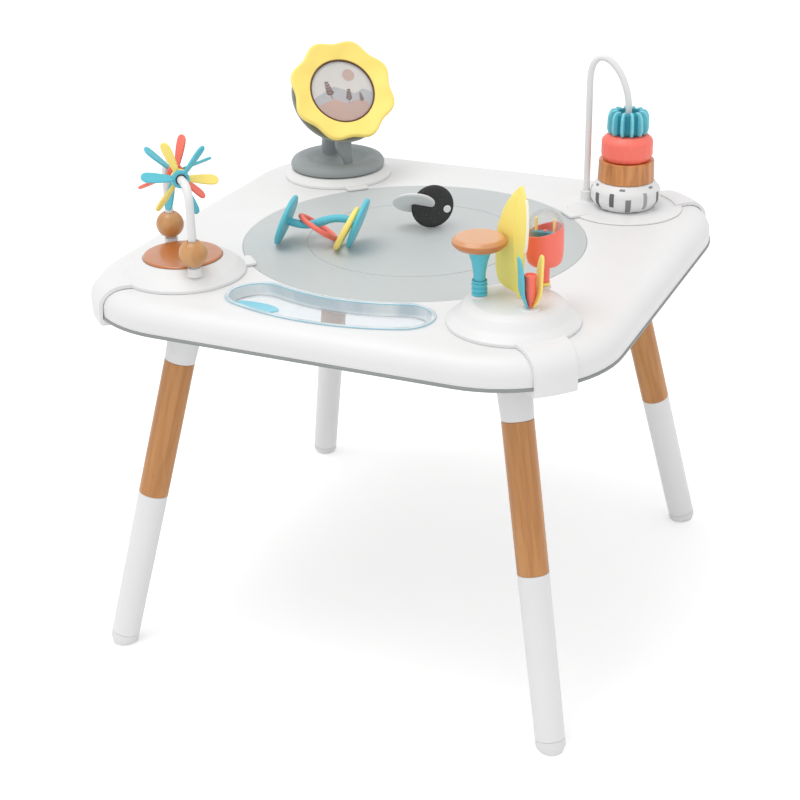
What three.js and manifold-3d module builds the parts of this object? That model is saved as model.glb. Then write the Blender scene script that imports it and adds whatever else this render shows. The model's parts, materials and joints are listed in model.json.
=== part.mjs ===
// Baby activity center: a square table on four splayed legs with a round centre disc, a snack
// tray and four clip-on toy pods. Millimetres, +Z up, feet on z = 0, centred on the leg square.
// Front is -Y; the four corners are named as seen by someone standing at the front.
import * as THREE from 'three';
import { mergeVertices } from 'three/addons/utils/BufferGeometryUtils.js';
import Module from 'manifold-3d';

const wasm = await Module();
wasm.setup();

// Fits
const gap = 0.3;
const runningGap = 0.1;
const wall = 3;

// Centre disc: its seat opening sets the size of the whole table
const disc = { radius: 200, thick: 3, rimDepth: 10.7, rimWall: 3.2 };

// Deck
const deckMargin = 104;
const deckTop = 460;
const deckDepth = 29;
const deck = {
  half: disc.radius + deckMargin,
  cornerRadius: 133,
  bottom: deckTop - deckDepth,
  top: deckTop,
  edgeWidth: 24,
  edgeHeight: 20,
  ledgeWidth: 9,
  ledgeDrop: 11,
  ledgeThick: 3,
};
const panLap = 12;
const pan = { thick: 3, trim: 0.8, openingRadius: disc.radius - panLap };

// Legs: an axis line leaning outwards the same amount in x and in y
const footInset = 30.4;
const leg = {
  reachAtFloor: deck.half - footInset,
  lean: 0.19505,
  woodTop: 354.8,
  woodBottom: 193.3,
  footTop: 13.5,
  radiusTop: 20,
  radiusUpper: 17.5,
  radiusLower: 17.3,
  radiusFoot: 16.5,
  tenonRadius: 13.4,
  tenonLength: 16,
  flareLength: 52,
  soleRadius: 12,
  soleDrop: 4,
  footShoulder: 6,
};

// Snack tray: a slot bent round the centre disc
const trayOffDisc = 41.5;
const tray = {
  pathRadius: disc.radius + trayOffDisc,
  halfWidth: 35.5,
  halfAngle: THREE.MathUtils.degToRad(20.5),
  flangeThick: 1.6,
  bodyInset: 2.9,
  wallThick: 2,
  floorDrop: 13,
  floorThick: 2,
};
const lens = { halfLong: 23.5, halfWide: 13, thick: 1.4 };
const trayFloor = deck.top - tray.floorDrop;

// Toy pods
const podInset = 109;
const pod = { reach: deck.half - podInset, radius: 69.5, edge: 3.2 };
const clip = {
  halfWideTop: 30,
  halfWideLow: 21,
  thick: 4,
  clearance: 0.7,
  hookReach: 11,
  hookThick: 7,
  hookChamfer: 2,
  overlap: 16,
};
const tab = { halfWide: 14, thick: 3.6, overDisc: 5, intoBase: 12 };

// Spinner pod, front left
const spinnerDome = { plateau: 19.5, plateauRadius: 46, shoulderRadius: 60, shoulder: 12 };
const inlay = { radius: 44, thick: 2.6, crown: 1.2 };
const arch = { halfSpan: 53, barRise: 113, bend: 18, bendSteps: 5, tubeRadius: 4.6 };
const stub = { radius: 7.3, rise: 23.8, sink: 6 };
const bead = { radius: 15.6, boreRadius: 5.4, rest: 39.8, steps: 6 };
const propeller = {
  hubRadius: 9.8,
  boreRadius: 5.5,
  hubLength: 4.2,
  tipRadius: 43.4,
  rootHalf: 2.9,
  tipHalf: 6.2,
  tipRound: 4.2,
  thick: 2.8,
  pitch: THREE.MathUtils.degToRad(47),
  round: 0.6,
};
const starPairs = [
  { at: 18, front: ['spinner_teal_front', 'teal', 50, 1], rear: ['spinner_yellow', 'yellow', 110, -1] },
  { at: -5, front: ['spinner_coral', 'coral', 75, -1], rear: ['spinner_teal_rear', 'teal', 15, 1] },
];

// Flower pod, back left
const flowerBase = { plateau: 10.7, plateauRadius: 61, shoulderRadius: 67, shoulder: 6.5 };
const stand = {
  footRadius: 60,
  footEdge: 4,
  coneRadius: 15,
  coneTop: 12,
  postRadius: 10,
  postOut: 32,
  postKnee: 36,
  postSteps: 6,
};
const clicker = { forward: 20, height: 38, halfWide: 9, thick: 8, lean: THREE.MathUtils.degToRad(4) };
const flower = {
  rise: 113.2,
  forward: 24.2,
  tilt: THREE.MathUtils.degToRad(36),
  turn: THREE.MathUtils.degToRad(-23),
  lobeRadius: 65,
  lobeDepth: 3.6,
  lobes: 8,
  lobeSteps: 4,
  thick: 8,
  round: 1.6,
  recessRadius: 42.2,
  recessDeep: 5,
  hubRadius: 12,
  hubLength: 6,
  axleRadius: 4.2,
  axleDeep: 2.6,
};
const picture = { radius: 41.4, thick: 1.5 };
const windowPane = { radius: 41.4, edge: 1.2, brow: 2.5, browRadius: 29, crown: 3.4 };
const dish = { radius: 64, depth: 9, thick: 3, backRadius: 20, offset: 12 };

// Stacker pod, back right
const stackerDome = { plateau: 3.2, plateauRadius: 54, shoulderRadius: 65, shoulder: 2.6 };
const wire = { radius: 3.9, straight: 124, footOut: 49, footStraight: 149, sink: 1.6, steps: 14 };
const wireBow = { outNear: 3, upNear: 177, outFar: 50, upFar: 209 };
const socket = { radius: 7, height: 14 };
const ringBore = 6.2;
const ringSizes = {
  dashed: { height: 33, radius: 41.8, endRadius: 34, bellyShare: 0.3 },
  wood: { height: 24.8, radius: 34, endRadius: 33, chamfer: 1.2 },
  coral: { height: 33, radius: 31.6, endRadius: 28.6, bellyShare: 0.2 },
  teal: { height: 26.6, radius: 25.6, valley: 20, finShare: 0.17, valleyShare: 0.33, fins: 12, round: 2.2 },
};

// Discovery pod, front right
const bell = {
  plateau: 25,
  plateauRadius: 44,
  crown: 1.6,
  brow: 52,
  browHeight: 21,
  skirt: 60,
  skirtHeight: 11,
};
const mushroom = {
  atX: -34.7,
  atY: -6.8,
  collarRadius: 8.2,
  collarHeight: 16,
  ribs: 3,
  ribDeep: 0.8,
  ballRadius: 6.2,
  ballSteps: 8,
  stemRadius: 6.6,
  flareRadius: 14,
  stemTop: 78,
  capRadius: 28.3,
  capThick: 11.5,
  capEdge: 4.5,
  capLip: 1.4,
};
const stemShares = [[0.2, 0], [0.55, 0.25], [0.82, 0.6]];
const capShares = [0.18, 0.5, 0.82];
const leafFlap = {
  atX: 6.2,
  atY: 1.2,
  direction: THREE.MathUtils.degToRad(143),
  pinAlong: 11.2,
  long: 57,
  height: 114,
  thick: 3,
  foot: 2,
  pinRadius: 1.6,
  bossRadius: 3.3,
  bossHeight: 14,
  pinHeight: 12,
  outlineSteps: 30,
  round: 0.7,
};
const leafOutlineShares = [
  [0.23, 0.01], [0.52, 0], [0.8, 0.01], [0.93, 0.06], [1, 0.2], [0.97, 0.46], [0.84, 0.64], [0.61, 0.82],
  [0.23, 1], [0.11, 0.96], [0, 0.8], [0, 0.66], [0.06, 0.42], [0.12, 0.2], [0.17, 0.06],
];
const tulip = {
  atX: 25,
  atY: -21.4,
  budRadius: 6.4,
  budFoot: 3,
  budHeight: 32,
  lip: 3,
  lipOut: 0.9,
  petalHeight: 60,
  petalHalf: 10.5,
  petalThick: 2.4,
  petalFoot: 4.2,
  petalOut: 7.6,
  petalLean: THREE.MathUtils.degToRad(5),
  hubRadius: 9,
  hubHeight: 5,
  pinRadius: 1.6,
  facing: THREE.MathUtils.degToRad(204.6),
};
const petalOutlineShares = [[0.3, 0], [0.75, 0.2], [1, 0.5], [0.86, 0.78], [0.45, 0.97], [0, 1]];
const rattle = {
  atX: 17.3,
  atY: 42.6,
  footRadius: 6.4,
  footTop: 31,
  stemRadius: 5.6,
  cupBottom: 49,
  cupRadius: 19.4,
  cupLowRadius: 18,
  cupCorner: 12,
  cornerRise: 4,
  lowRise: 15,
  domeCentre: 89,
  domeSteps: 5,
  seamHeight: 87,
  seamSlope: THREE.MathUtils.degToRad(15),
  seamFacing: THREE.MathUtils.degToRad(24.6),
  wallThick: 1.8,
  pinRadius: 2,
  pinDeep: 8,
  rotorRadius: 15,
  rotorHalf: 3.2,
  rotorLow: 79,
  rotorHeight: 6,
  rotorHub: 4.6,
  spindleOver: 1.5,
  rodRadius: 1.5,
  rodSides: 8,
  rodTop: 99.5,
  rodOut: 9.6,
};

// Loose toys on the disc
const spool = {
  atX: -88,
  atY: -63.4,
  turn: THREE.MathUtils.degToRad(13.2),
  halfLength: 42.4,
  discRadius: 30.8,
  discThick: 6,
  rimThick: 3,
  lean: THREE.MathUtils.degToRad(22),
  barRadius: 4.7,
  barReach: 44,
  barSteps: 8,
};
const looseRingSides = 6;
const looseRings = [
  {
    name: 'spool_ring_coral',
    colour: 'coral',
    at: [-7.2, 9.3, 19.8],
    axis: [0.519, 0.282, 0.811],
    radius: 26.4,
    section: 6,
  },
  {
    name: 'spool_ring_yellow',
    colour: 'yellow',
    at: [31, -9, 26.2],
    axis: [0.8755, 0, -0.483],
    radius: 27.9,
    section: 6.6,
  },
];
const pair = {
  atX: 4.8,
  atY: 42.6,
  turn: THREE.MathUtils.degToRad(40),
  blackRadius: 26,
  blackThick: 5.4,
  whiteRadius: 25,
  whiteThick: 4,
  whiteOut: 24,
  slope: THREE.MathUtils.degToRad(16),
  tilt: THREE.MathUtils.degToRad(40),
  rimShare: 0.3,
};

// Finishes
const looks = {
  white: { color: 0xf1f1f0, roughness: 0.42, metalness: 0 },
  grey: { color: 0xb9bdbe, roughness: 0.5, metalness: 0 },
  darkGrey: { color: 0x8f9698, roughness: 0.5, metalness: 0 },
  wood: { color: 0xc18848, roughness: 0.55, metalness: 0 },
  copper: { color: 0xc98250, roughness: 0.45, metalness: 0 },
  teal: { color: 0x4fb6cc, roughness: 0.4, metalness: 0 },
  coral: { color: 0xf66a5c, roughness: 0.4, metalness: 0 },
  yellow: { color: 0xfbdb66, roughness: 0.4, metalness: 0 },
  black: { color: 0x2a2a2b, roughness: 0.6, metalness: 0 },
  cream: { color: 0xe6dcd0, roughness: 0.6, metalness: 0 },
  clear: { color: 0xd5ecf5, roughness: 0.1, metalness: 0, transparent: true, opacity: 0.4 },
  blueClear: { color: 0x7cc9e8, roughness: 0.15, metalness: 0, transparent: true, opacity: 0.55 },
};

// Segment counts
const fine = 40;
const medium = 20;
const coarse = 12;
const broad = 24;
const cornerSteps = 5;
const bevelSteps = 4;
const clipSteps = 32;
const sides = 4;
const weld = 1e-4;

// Solid helpers
function toSolid(geometry) {
  const plain = geometry.clone();
  plain.deleteAttribute('normal');
  plain.deleteAttribute('uv');
  const merged = mergeVertices(plain, weld);
  const index = merged.index.array;
  const points = merged.attributes.position.array;
  const triangles = [];
  let volume = 0;
  const a = new THREE.Vector3();
  const b = new THREE.Vector3();
  const c = new THREE.Vector3();
  for (let i = 0; i < index.length; i += 3) {
    const [p, q, r] = [index[i], index[i + 1], index[i + 2]];
    if (p === q || q === r || r === p) continue;
    triangles.push(p, q, r);
    a.fromArray(points, p * 3);
    b.fromArray(points, q * 3);
    c.fromArray(points, r * 3);
    volume += a.dot(b.cross(c));
  }
  if (volume < 0) triangles.reverse();
  return new wasm.Manifold(new wasm.Mesh({
    numProp: 3,
    vertProperties: Float32Array.from(points),
    triVerts: Uint32Array.from(triangles),
  }));
}

function toGeometry(solid) {
  const mesh = solid.getMesh();
  const geometry = new THREE.BufferGeometry();
  geometry.setAttribute('position', new THREE.BufferAttribute(Float32Array.from(mesh.vertProperties), 3));
  geometry.setIndex(new THREE.BufferAttribute(Uint32Array.from(mesh.triVerts), 1));
  const flat = geometry.toNonIndexed();
  flat.computeVertexNormals();
  return flat;
}

function join(first, ...others) {
  return toGeometry(others.reduce((sum, other) => sum.add(toSolid(other)), toSolid(first)));
}

function cut(first, ...others) {
  return toGeometry(others.reduce((rest, other) => rest.subtract(toSolid(other)), toSolid(first)));
}

function common(first, second) {
  return toGeometry(toSolid(first).intersect(toSolid(second)));
}

function clean(geometry) {
  return toGeometry(toSolid(geometry));
}

// A body turned about Z from a profile of [radius, height] points, lowest outer side first
function turned(profile, segments) {
  const points = profile.map(([radius, height]) => new THREE.Vector2(radius, height));
  return new THREE.LatheGeometry(points, segments).rotateX(Math.PI / 2);
}

function rod(radius, low, high, segments) {
  return turned([[0, low], [radius, low], [radius, high], [0, high]], segments);
}

function sleeve(inner, outer, low, high, segments) {
  return turned([[inner, low], [outer, low], [outer, high], [inner, high], [inner, low]], segments);
}

function block(sizeX, sizeY, sizeZ, x, y, z) {
  return new THREE.BoxGeometry(sizeX, sizeY, sizeZ).translate(x, y, z);
}

function prism(shape, low, high, steps) {
  const settings = { depth: high - low, bevelEnabled: false, curveSegments: steps };
  return new THREE.ExtrudeGeometry(shape, settings).translate(0, 0, low);
}

// A plate with rounded edges whose outline stays inside the given shape
function softPlate(shape, thick, round, steps) {
  const settings = {
    depth: thick - 2 * round,
    bevelEnabled: true,
    bevelThickness: round,
    bevelSize: round,
    bevelOffset: -round,
    bevelSegments: 1,
    curveSegments: steps,
  };
  return new THREE.ExtrudeGeometry(shape, settings).translate(0, 0, round);
}

// A path through listed points, one step from each point to the next
class Track extends THREE.Curve {
  constructor(points) {
    super();
    this.points = points;
  }

  getPoint(share, target = new THREE.Vector3()) {
    const last = this.points.length - 1;
    const index = Math.min(Math.floor(share * last), last - 1);
    return target.lerpVectors(this.points[index], this.points[index + 1], share * last - index);
  }

  getUtoTmapping(share) {
    return share;
  }
}

function along(points, radius) {
  const section = new THREE.Shape();
  section.absarc(0, 0, radius, 0, Math.PI * 2, false);
  const settings = { steps: points.length - 1, extrudePath: new Track(points), curveSegments: sides };
  return new THREE.ExtrudeGeometry(section, settings);
}

function piece(parent, name, geometry, look) {
  const mesh = new THREE.Mesh(clean(geometry), new THREE.MeshStandardMaterial(looks[look]));
  mesh.name = name;
  parent.add(mesh);
  return mesh;
}

function place(parent, name, x, y, z, turn) {
  const group = new THREE.Group();
  group.name = name;
  group.position.set(x, y, z);
  group.rotation.z = turn;
  parent.add(group);
  return group;
}

// Outlines
function roundedSquare(half, radius) {
  const inner = half - radius;
  const shape = new THREE.Shape();
  shape.absarc(inner, -inner, radius, -Math.PI / 2, 0, false);
  shape.absarc(inner, inner, radius, 0, Math.PI / 2, false);
  shape.absarc(-inner, inner, radius, Math.PI / 2, Math.PI, false);
  shape.absarc(-inner, -inner, radius, Math.PI, Math.PI * 1.5, false);
  shape.closePath();
  return shape;
}

function bentSlot(halfWidth) {
  const start = -Math.PI / 2 - tray.halfAngle;
  const end = -Math.PI / 2 + tray.halfAngle;
  const path = tray.pathRadius;
  const shape = new THREE.Shape();
  shape.absarc(0, 0, path + halfWidth, start, end, false);
  shape.absarc(path * Math.cos(end), path * Math.sin(end), halfWidth, end, end + Math.PI, false);
  shape.absarc(0, 0, path - halfWidth, end, start, true);
  shape.absarc(path * Math.cos(start), path * Math.sin(start), halfWidth, start - Math.PI, start, false);
  shape.closePath();
  return shape;
}

const model = new THREE.Group();
model.name = 'activity_center';

// Deck shell: pillow-edged top, hollow below, with the disc's collar and ledge and the tray's opening
function deckShell() {
  const low = deck.bottom;
  const reach = deck.top - low;
  const pillow = (inset, steps, bevelSegments) => {
    const body = new THREE.ExtrudeGeometry(roundedSquare(deck.half - inset, deck.cornerRadius - inset), {
      depth: reach,
      bevelEnabled: true,
      bevelThickness: deck.edgeHeight,
      bevelSize: deck.edgeWidth,
      bevelOffset: -deck.edgeWidth,
      bevelSegments,
      curveSegments: steps,
    });
    return body.translate(0, 0, low - inset - deck.edgeHeight);
  };
  const outer = pillow(0, cornerSteps, bevelSteps);
  const inner = pillow(wall, cornerSteps - 2, bevelSteps / 2);
  const size = 2 * deck.half + 2 * wall;
  const below = block(size, size, reach + deck.edgeHeight, 0, 0, low - (reach + deck.edgeHeight) / 2);
  const collar = disc.radius + gap;
  const ledgeTop = deck.top - deck.ledgeDrop;
  const holder = turned([
    [collar - deck.ledgeWidth, ledgeTop - deck.ledgeThick],
    [collar + wall, ledgeTop - deck.ledgeThick],
    [collar + wall, deck.top - wall / 2],
    [collar, deck.top - wall / 2],
    [collar, ledgeTop],
    [collar - deck.ledgeWidth, ledgeTop],
    [collar - deck.ledgeWidth, ledgeTop - deck.ledgeThick],
  ], fine);
  const opening = rod(collar, low - wall, deck.top + wall, fine);
  const slotHalf = tray.halfWidth - tray.bodyInset + gap;
  const slot = prism(bentSlot(slotHalf), low - wall, deck.top + wall, cornerSteps);
  return join(cut(outer, below, inner, opening, slot), holder);
}

// Underpan: flat grey closing plate whose edge shows as a thin band under the deck
const legAxis = new THREE.Vector3(-leg.lean, -leg.lean, 1).normalize();
const legTurn = new THREE.Quaternion().setFromUnitVectors(new THREE.Vector3(0, 0, 1), legAxis);
const legPlace = new THREE.Matrix4().compose(
  new THREE.Vector3(leg.reachAtFloor, leg.reachAtFloor, 0),
  legTurn,
  new THREE.Vector3(1, 1, 1),
);
const rise = 1 / legAxis.z;
const panBottom = deck.bottom - gap - pan.thick;

function underpan() {
  const outline = roundedSquare(deck.half + pan.trim, deck.cornerRadius + pan.trim);
  const plate = prism(outline, panBottom, deck.bottom - gap, cornerSteps);
  return cut(plate, rod(pan.openingRadius, panBottom - wall, deck.bottom + wall, fine));
}

// Centre disc: flush lid with a turned-down rim that stands on the deck's ledge
function centreDisc() {
  const top = deck.top;
  const under = top - disc.thick;
  const rim = disc.radius - disc.rimWall;
  return turned([
    [0, under],
    [rim, under],
    [rim, top - disc.rimDepth],
    [disc.radius, top - disc.rimDepth],
    [disc.radius, top],
    [0, top],
  ], fine);
}

piece(model, 'deck_shell', deckShell(), 'white');
piece(model, 'deck_underpan', underpan(), 'darkGrey');
piece(model, 'centre_disc', centreDisc(), 'grey');

// Snack tray
function snackTray() {
  const bodyHalf = tray.halfWidth - tray.bodyInset;
  const flangeLow = deck.top + gap;
  const flangeHigh = flangeLow + tray.flangeThick;
  const lap = flangeLow + tray.flangeThick / 2;
  const body = prism(bentSlot(bodyHalf), trayFloor - tray.floorThick, lap, cornerSteps);
  const flange = prism(bentSlot(tray.halfWidth), flangeLow, flangeHigh, cornerSteps);
  const inside = prism(bentSlot(bodyHalf - tray.wallThick), trayFloor, flangeHigh + wall, cornerSteps);
  return cut(join(body, flange), inside);
}

function trayLens() {
  const shape = new THREE.Shape();
  shape.absellipse(0, 0, lens.halfLong, lens.halfWide, 0, Math.PI * 2, false);
  const plate = prism(shape, trayFloor + gap, trayFloor + gap + lens.thick, 2 * cornerSteps);
  const end = -Math.PI / 2 - tray.halfAngle;
  plate.rotateZ(-tray.halfAngle);
  return plate.translate(tray.pathRadius * Math.cos(end), tray.pathRadius * Math.sin(end), 0);
}

piece(model, 'snack_tray', snackTray(), 'clear');
piece(model, 'tray_lens', trayLens(), 'blueClear');

// Legs: a turned foot, a lower tube, a wooden piece with a tenon at each end and a flared top
function upperLeg() {
  const low = leg.woodTop * rise + gap;
  const high = deck.bottom * rise + leg.radiusTop;
  const bore = leg.tenonRadius + gap;
  const body = turned([
    [0, low + leg.tenonLength],
    [bore, low + leg.tenonLength],
    [bore, low],
    [leg.radiusUpper, low],
    [leg.radiusTop, low + leg.flareLength],
    [leg.radiusTop, high],
    [0, high],
  ], coarse);
  const size = 4 * leg.radiusTop;
  const reach = leg.reachAtFloor - leg.lean * panBottom;
  const above = block(size, size, size, reach, reach, panBottom - gap + size / 2);
  return cut(body, above.applyMatrix4(legPlace.clone().invert()));
}

function woodLeg() {
  const low = leg.woodBottom * rise + gap;
  const high = leg.woodTop * rise;
  const tenon = leg.tenonLength - gap;
  return turned([
    [0, low - tenon],
    [leg.tenonRadius, low - tenon],
    [leg.tenonRadius, low],
    [leg.radiusLower, low],
    [leg.radiusUpper, high],
    [leg.tenonRadius, high],
    [leg.tenonRadius, high + tenon],
    [0, high + tenon],
  ], coarse);
}

function lowerLeg() {
  const low = leg.footTop + gap;
  const high = leg.woodBottom * rise;
  const bore = leg.tenonRadius + gap;
  return turned([
    [bore, low],
    [leg.radiusFoot, low],
    [leg.radiusLower, high],
    [bore, high],
    [bore, low],
  ], coarse);
}

function legFoot() {
  const body = turned([
    [0, -leg.soleDrop],
    [leg.soleRadius, -leg.soleDrop],
    [leg.radiusFoot, leg.footShoulder],
    [leg.radiusFoot, leg.footTop],
    [leg.tenonRadius, leg.footTop],
    [leg.tenonRadius, leg.footTop + leg.tenonLength],
    [0, leg.footTop + leg.tenonLength],
  ], coarse);
  const size = 4 * leg.radiusTop;
  const floor = block(size, size, size, leg.reachAtFloor, leg.reachAtFloor, -size / 2);
  return cut(body, floor.applyMatrix4(legPlace.clone().invert()));
}

const legShapes = { top: upperLeg(), wood: woodLeg(), lower: lowerLeg(), foot: legFoot() };
const cornerNames = ['back_right', 'back_left', 'front_left', 'front_right'];
cornerNames.forEach((corner, index) => {
  const frame = place(model, `leg_${corner}`, 0, 0, 0, index * Math.PI / 2);
  const axis = place(frame, `leg_axis_${corner}`, leg.reachAtFloor, leg.reachAtFloor, 0, 0);
  axis.quaternion.copy(legTurn);
  piece(axis, `leg_top_${corner}`, legShapes.top, 'white');
  piece(axis, `leg_wood_${corner}`, legShapes.wood, 'wood');
  piece(axis, `leg_lower_${corner}`, legShapes.lower, 'white');
  piece(axis, `leg_foot_${corner}`, legShapes.foot, 'grey');
});

// Pods: local +X points to the deck's corner, z = 0 on the deck's top
const upright = new THREE.Vector3(0, 0, 1);
const podReach = pod.reach * Math.SQRT2;
function podFrame(name, corner) {
  const angle = Math.PI / 4 + cornerNames.indexOf(corner) * Math.PI / 2;
  const spot = new THREE.Vector3(podReach, 0, 0).applyAxisAngle(upright, angle);
  return place(model, name, spot.x, spot.y, deck.top, angle);
}

function podClip() {
  const centre = (deck.half - deck.cornerRadius) * Math.SQRT2 - podReach;
  const outline = (offset) => {
    const points = [];
    for (let step = 0; step <= bevelSteps; step += 1) {
      const angle = Math.PI / 2 * (1 - step / bevelSteps);
      points.push([
        deck.cornerRadius - deck.edgeWidth + (deck.edgeWidth + offset) * Math.cos(angle),
        -deck.edgeHeight + (deck.edgeHeight + offset) * Math.sin(angle),
      ]);
    }
    return points;
  };
  const near = outline(clip.clearance);
  const far = outline(clip.clearance + clip.thick);
  const start = deck.cornerRadius - deck.edgeWidth - clip.overlap;
  const hookTop = panBottom - deck.top - gap;
  const hookLow = hookTop - clip.hookThick;
  const inside = near[near.length - 1][0];
  const outside = far[far.length - 1][0];
  const ring = turned([
    [start, clip.clearance],
    ...near,
    [inside + pan.trim, hookTop],
    [inside - clip.hookReach, hookTop],
    [inside - clip.hookReach, hookLow],
    [outside - clip.hookChamfer, hookLow],
    [outside, hookLow + clip.hookChamfer],
    ...far.reverse(),
    [start, clip.clearance + clip.thick],
    [start, clip.clearance],
  ].reverse(), clipSteps).translate(centre, 0, 0);
  const plan = new THREE.Shape();
  const from = centre + start - clip.overlap;
  const to = centre + outside + clip.overlap;
  plan.moveTo(from, -clip.halfWideTop);
  plan.lineTo(to, -clip.halfWideLow);
  plan.lineTo(to, clip.halfWideLow);
  plan.lineTo(from, clip.halfWideTop);
  plan.closePath();
  const depth = 2 * (deckDepth + clip.hookThick);
  return common(ring, prism(plan, -depth, depth, 1));
}

// Base: dome resting on the deck, with the corner clip and the small tab over the disc
function podBase(dome) {
  const body = turned([[0, gap], ...dome], broad);
  const tabOuter = -pod.radius + tab.intoBase;
  const tabInner = disc.radius - tab.overDisc - podReach;
  const middle = (tabOuter + tabInner) / 2;
  const tongue = block(tabOuter - tabInner, 2 * tab.halfWide, tab.thick, middle, 0, gap + tab.thick / 2);
  return join(body, podClip(), tongue);
}

function lowDome(size) {
  return podBase([
    [pod.radius, gap],
    [pod.radius, gap + pod.edge],
    [size.shoulderRadius, size.shoulder],
    [size.plateauRadius, size.plateau],
    [0, size.plateau],
  ]);
}

// Spinner pod
const spinnerPod = podFrame('spinner_pod', 'front_left');
{
  const plateau = spinnerDome.plateau;
  const recess = rod(inlay.radius + gap, plateau - gap, plateau + wall, medium);
  const stubBottom = plateau - stub.sink / 2;
  let base = cut(lowDome(spinnerDome), recess);
  for (const side of [-1, 1]) {
    const post = rod(stub.radius, plateau - stub.sink, stub.rise, coarse);
    base = join(base, post.translate(0, side * arch.halfSpan, 0));
  }
  for (const side of [-1, 1]) {
    const bore = rod(arch.tubeRadius + gap, stubBottom, 2 * stub.rise, coarse);
    base = cut(base, bore.translate(0, side * arch.halfSpan, 0));
  }
  piece(spinnerPod, 'spinner_base', base, 'white');
  piece(spinnerPod, 'spinner_inlay', turned([
    [0, plateau],
    [inlay.radius, plateau],
    [inlay.radius, plateau + inlay.thick / 2],
    [inlay.radius - inlay.thick / 2, plateau + inlay.thick],
    [0, plateau + inlay.thick + inlay.crown],
  ], medium), 'copper');

  const quarter = (side) => {
    const points = [];
    for (let step = 0; step <= arch.bendSteps; step += 1) {
      const angle = Math.PI / 2 * step / arch.bendSteps;
      const out = arch.halfSpan - arch.bend + arch.bend * Math.cos(angle);
      const up = arch.barRise - arch.bend + arch.bend * Math.sin(angle);
      points.push(new THREE.Vector3(0, side * out, up));
    }
    return points;
  };
  const route = [
    new THREE.Vector3(0, -arch.halfSpan, stubBottom + gap),
    ...quarter(-1),
    ...quarter(1).reverse(),
    new THREE.Vector3(0, arch.halfSpan, stubBottom + gap),
  ];
  piece(spinnerPod, 'spinner_arch', along(route, arch.tubeRadius), 'white');

  const ballPoints = [];
  const mouth = Math.asin(bead.boreRadius / bead.radius);
  for (let step = 0; step <= bead.steps; step += 1) {
    const angle = -Math.PI / 2 + mouth + (Math.PI - 2 * mouth) * step / bead.steps;
    ballPoints.push([bead.radius * Math.cos(angle), bead.radius * Math.sin(angle)]);
  }
  ballPoints.push(ballPoints[0]);
  for (const [name, side] of [['bead_front', 1], ['bead_rear', -1]]) {
    const ball = piece(spinnerPod, name, turned(ballPoints, coarse), 'wood');
    ball.position.set(0, side * arch.halfSpan, bead.rest);
  }

  // A spinner: three pitched blades on a hub; within the hub's round the blades stay as thin as the hub
  const blade = new THREE.Shape();
  const rootAt = propeller.boreRadius + propeller.thick / 2;
  const tipAt = propeller.tipRadius - propeller.tipRound;
  blade.moveTo(rootAt, -propeller.rootHalf);
  blade.lineTo(tipAt, -propeller.tipHalf);
  blade.quadraticCurveTo(propeller.tipRadius, -propeller.tipHalf, propeller.tipRadius, 0);
  blade.quadraticCurveTo(propeller.tipRadius, propeller.tipHalf, tipAt, propeller.tipHalf);
  blade.lineTo(rootAt, propeller.rootHalf);
  blade.closePath();
  const hubHalf = propeller.hubLength / 2;
  const hub = sleeve(propeller.boreRadius, propeller.hubRadius, -hubHalf, hubHalf, coarse);
  const clearRound = propeller.hubRadius + gap;
  const above = rod(clearRound, hubHalf, hubHalf + propeller.tipHalf, coarse);
  const under = rod(clearRound, -hubHalf - propeller.tipHalf, -hubHalf, coarse);
  const bore = rod(propeller.boreRadius, -propeller.hubLength, propeller.hubLength, coarse);
  const threeBlades = (twist) => {
    const blades = [0, 1, 2].map((count) => softPlate(blade, propeller.thick, propeller.round, 2)
      .translate(0, 0, -propeller.thick / 2)
      .rotateX(twist * propeller.pitch)
      .rotateZ(count * Math.PI * 2 / 3));
    return cut(join(hub, ...blades), bore, above, under);
  };
  for (const pairOfStars of starPairs) {
    for (const [side, [name, colour, turn, twist]] of [[1, pairOfStars.front], [-1, pairOfStars.rear]]) {
      const star = piece(spinnerPod, name, threeBlades(twist), colour);
      star.position.set(0, pairOfStars.at + side * (hubHalf + gap / 2), arch.barRise);
      star.rotation.set(Math.PI / 2, 0, Math.PI - THREE.MathUtils.degToRad(turn));
    }
  }
}

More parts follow.
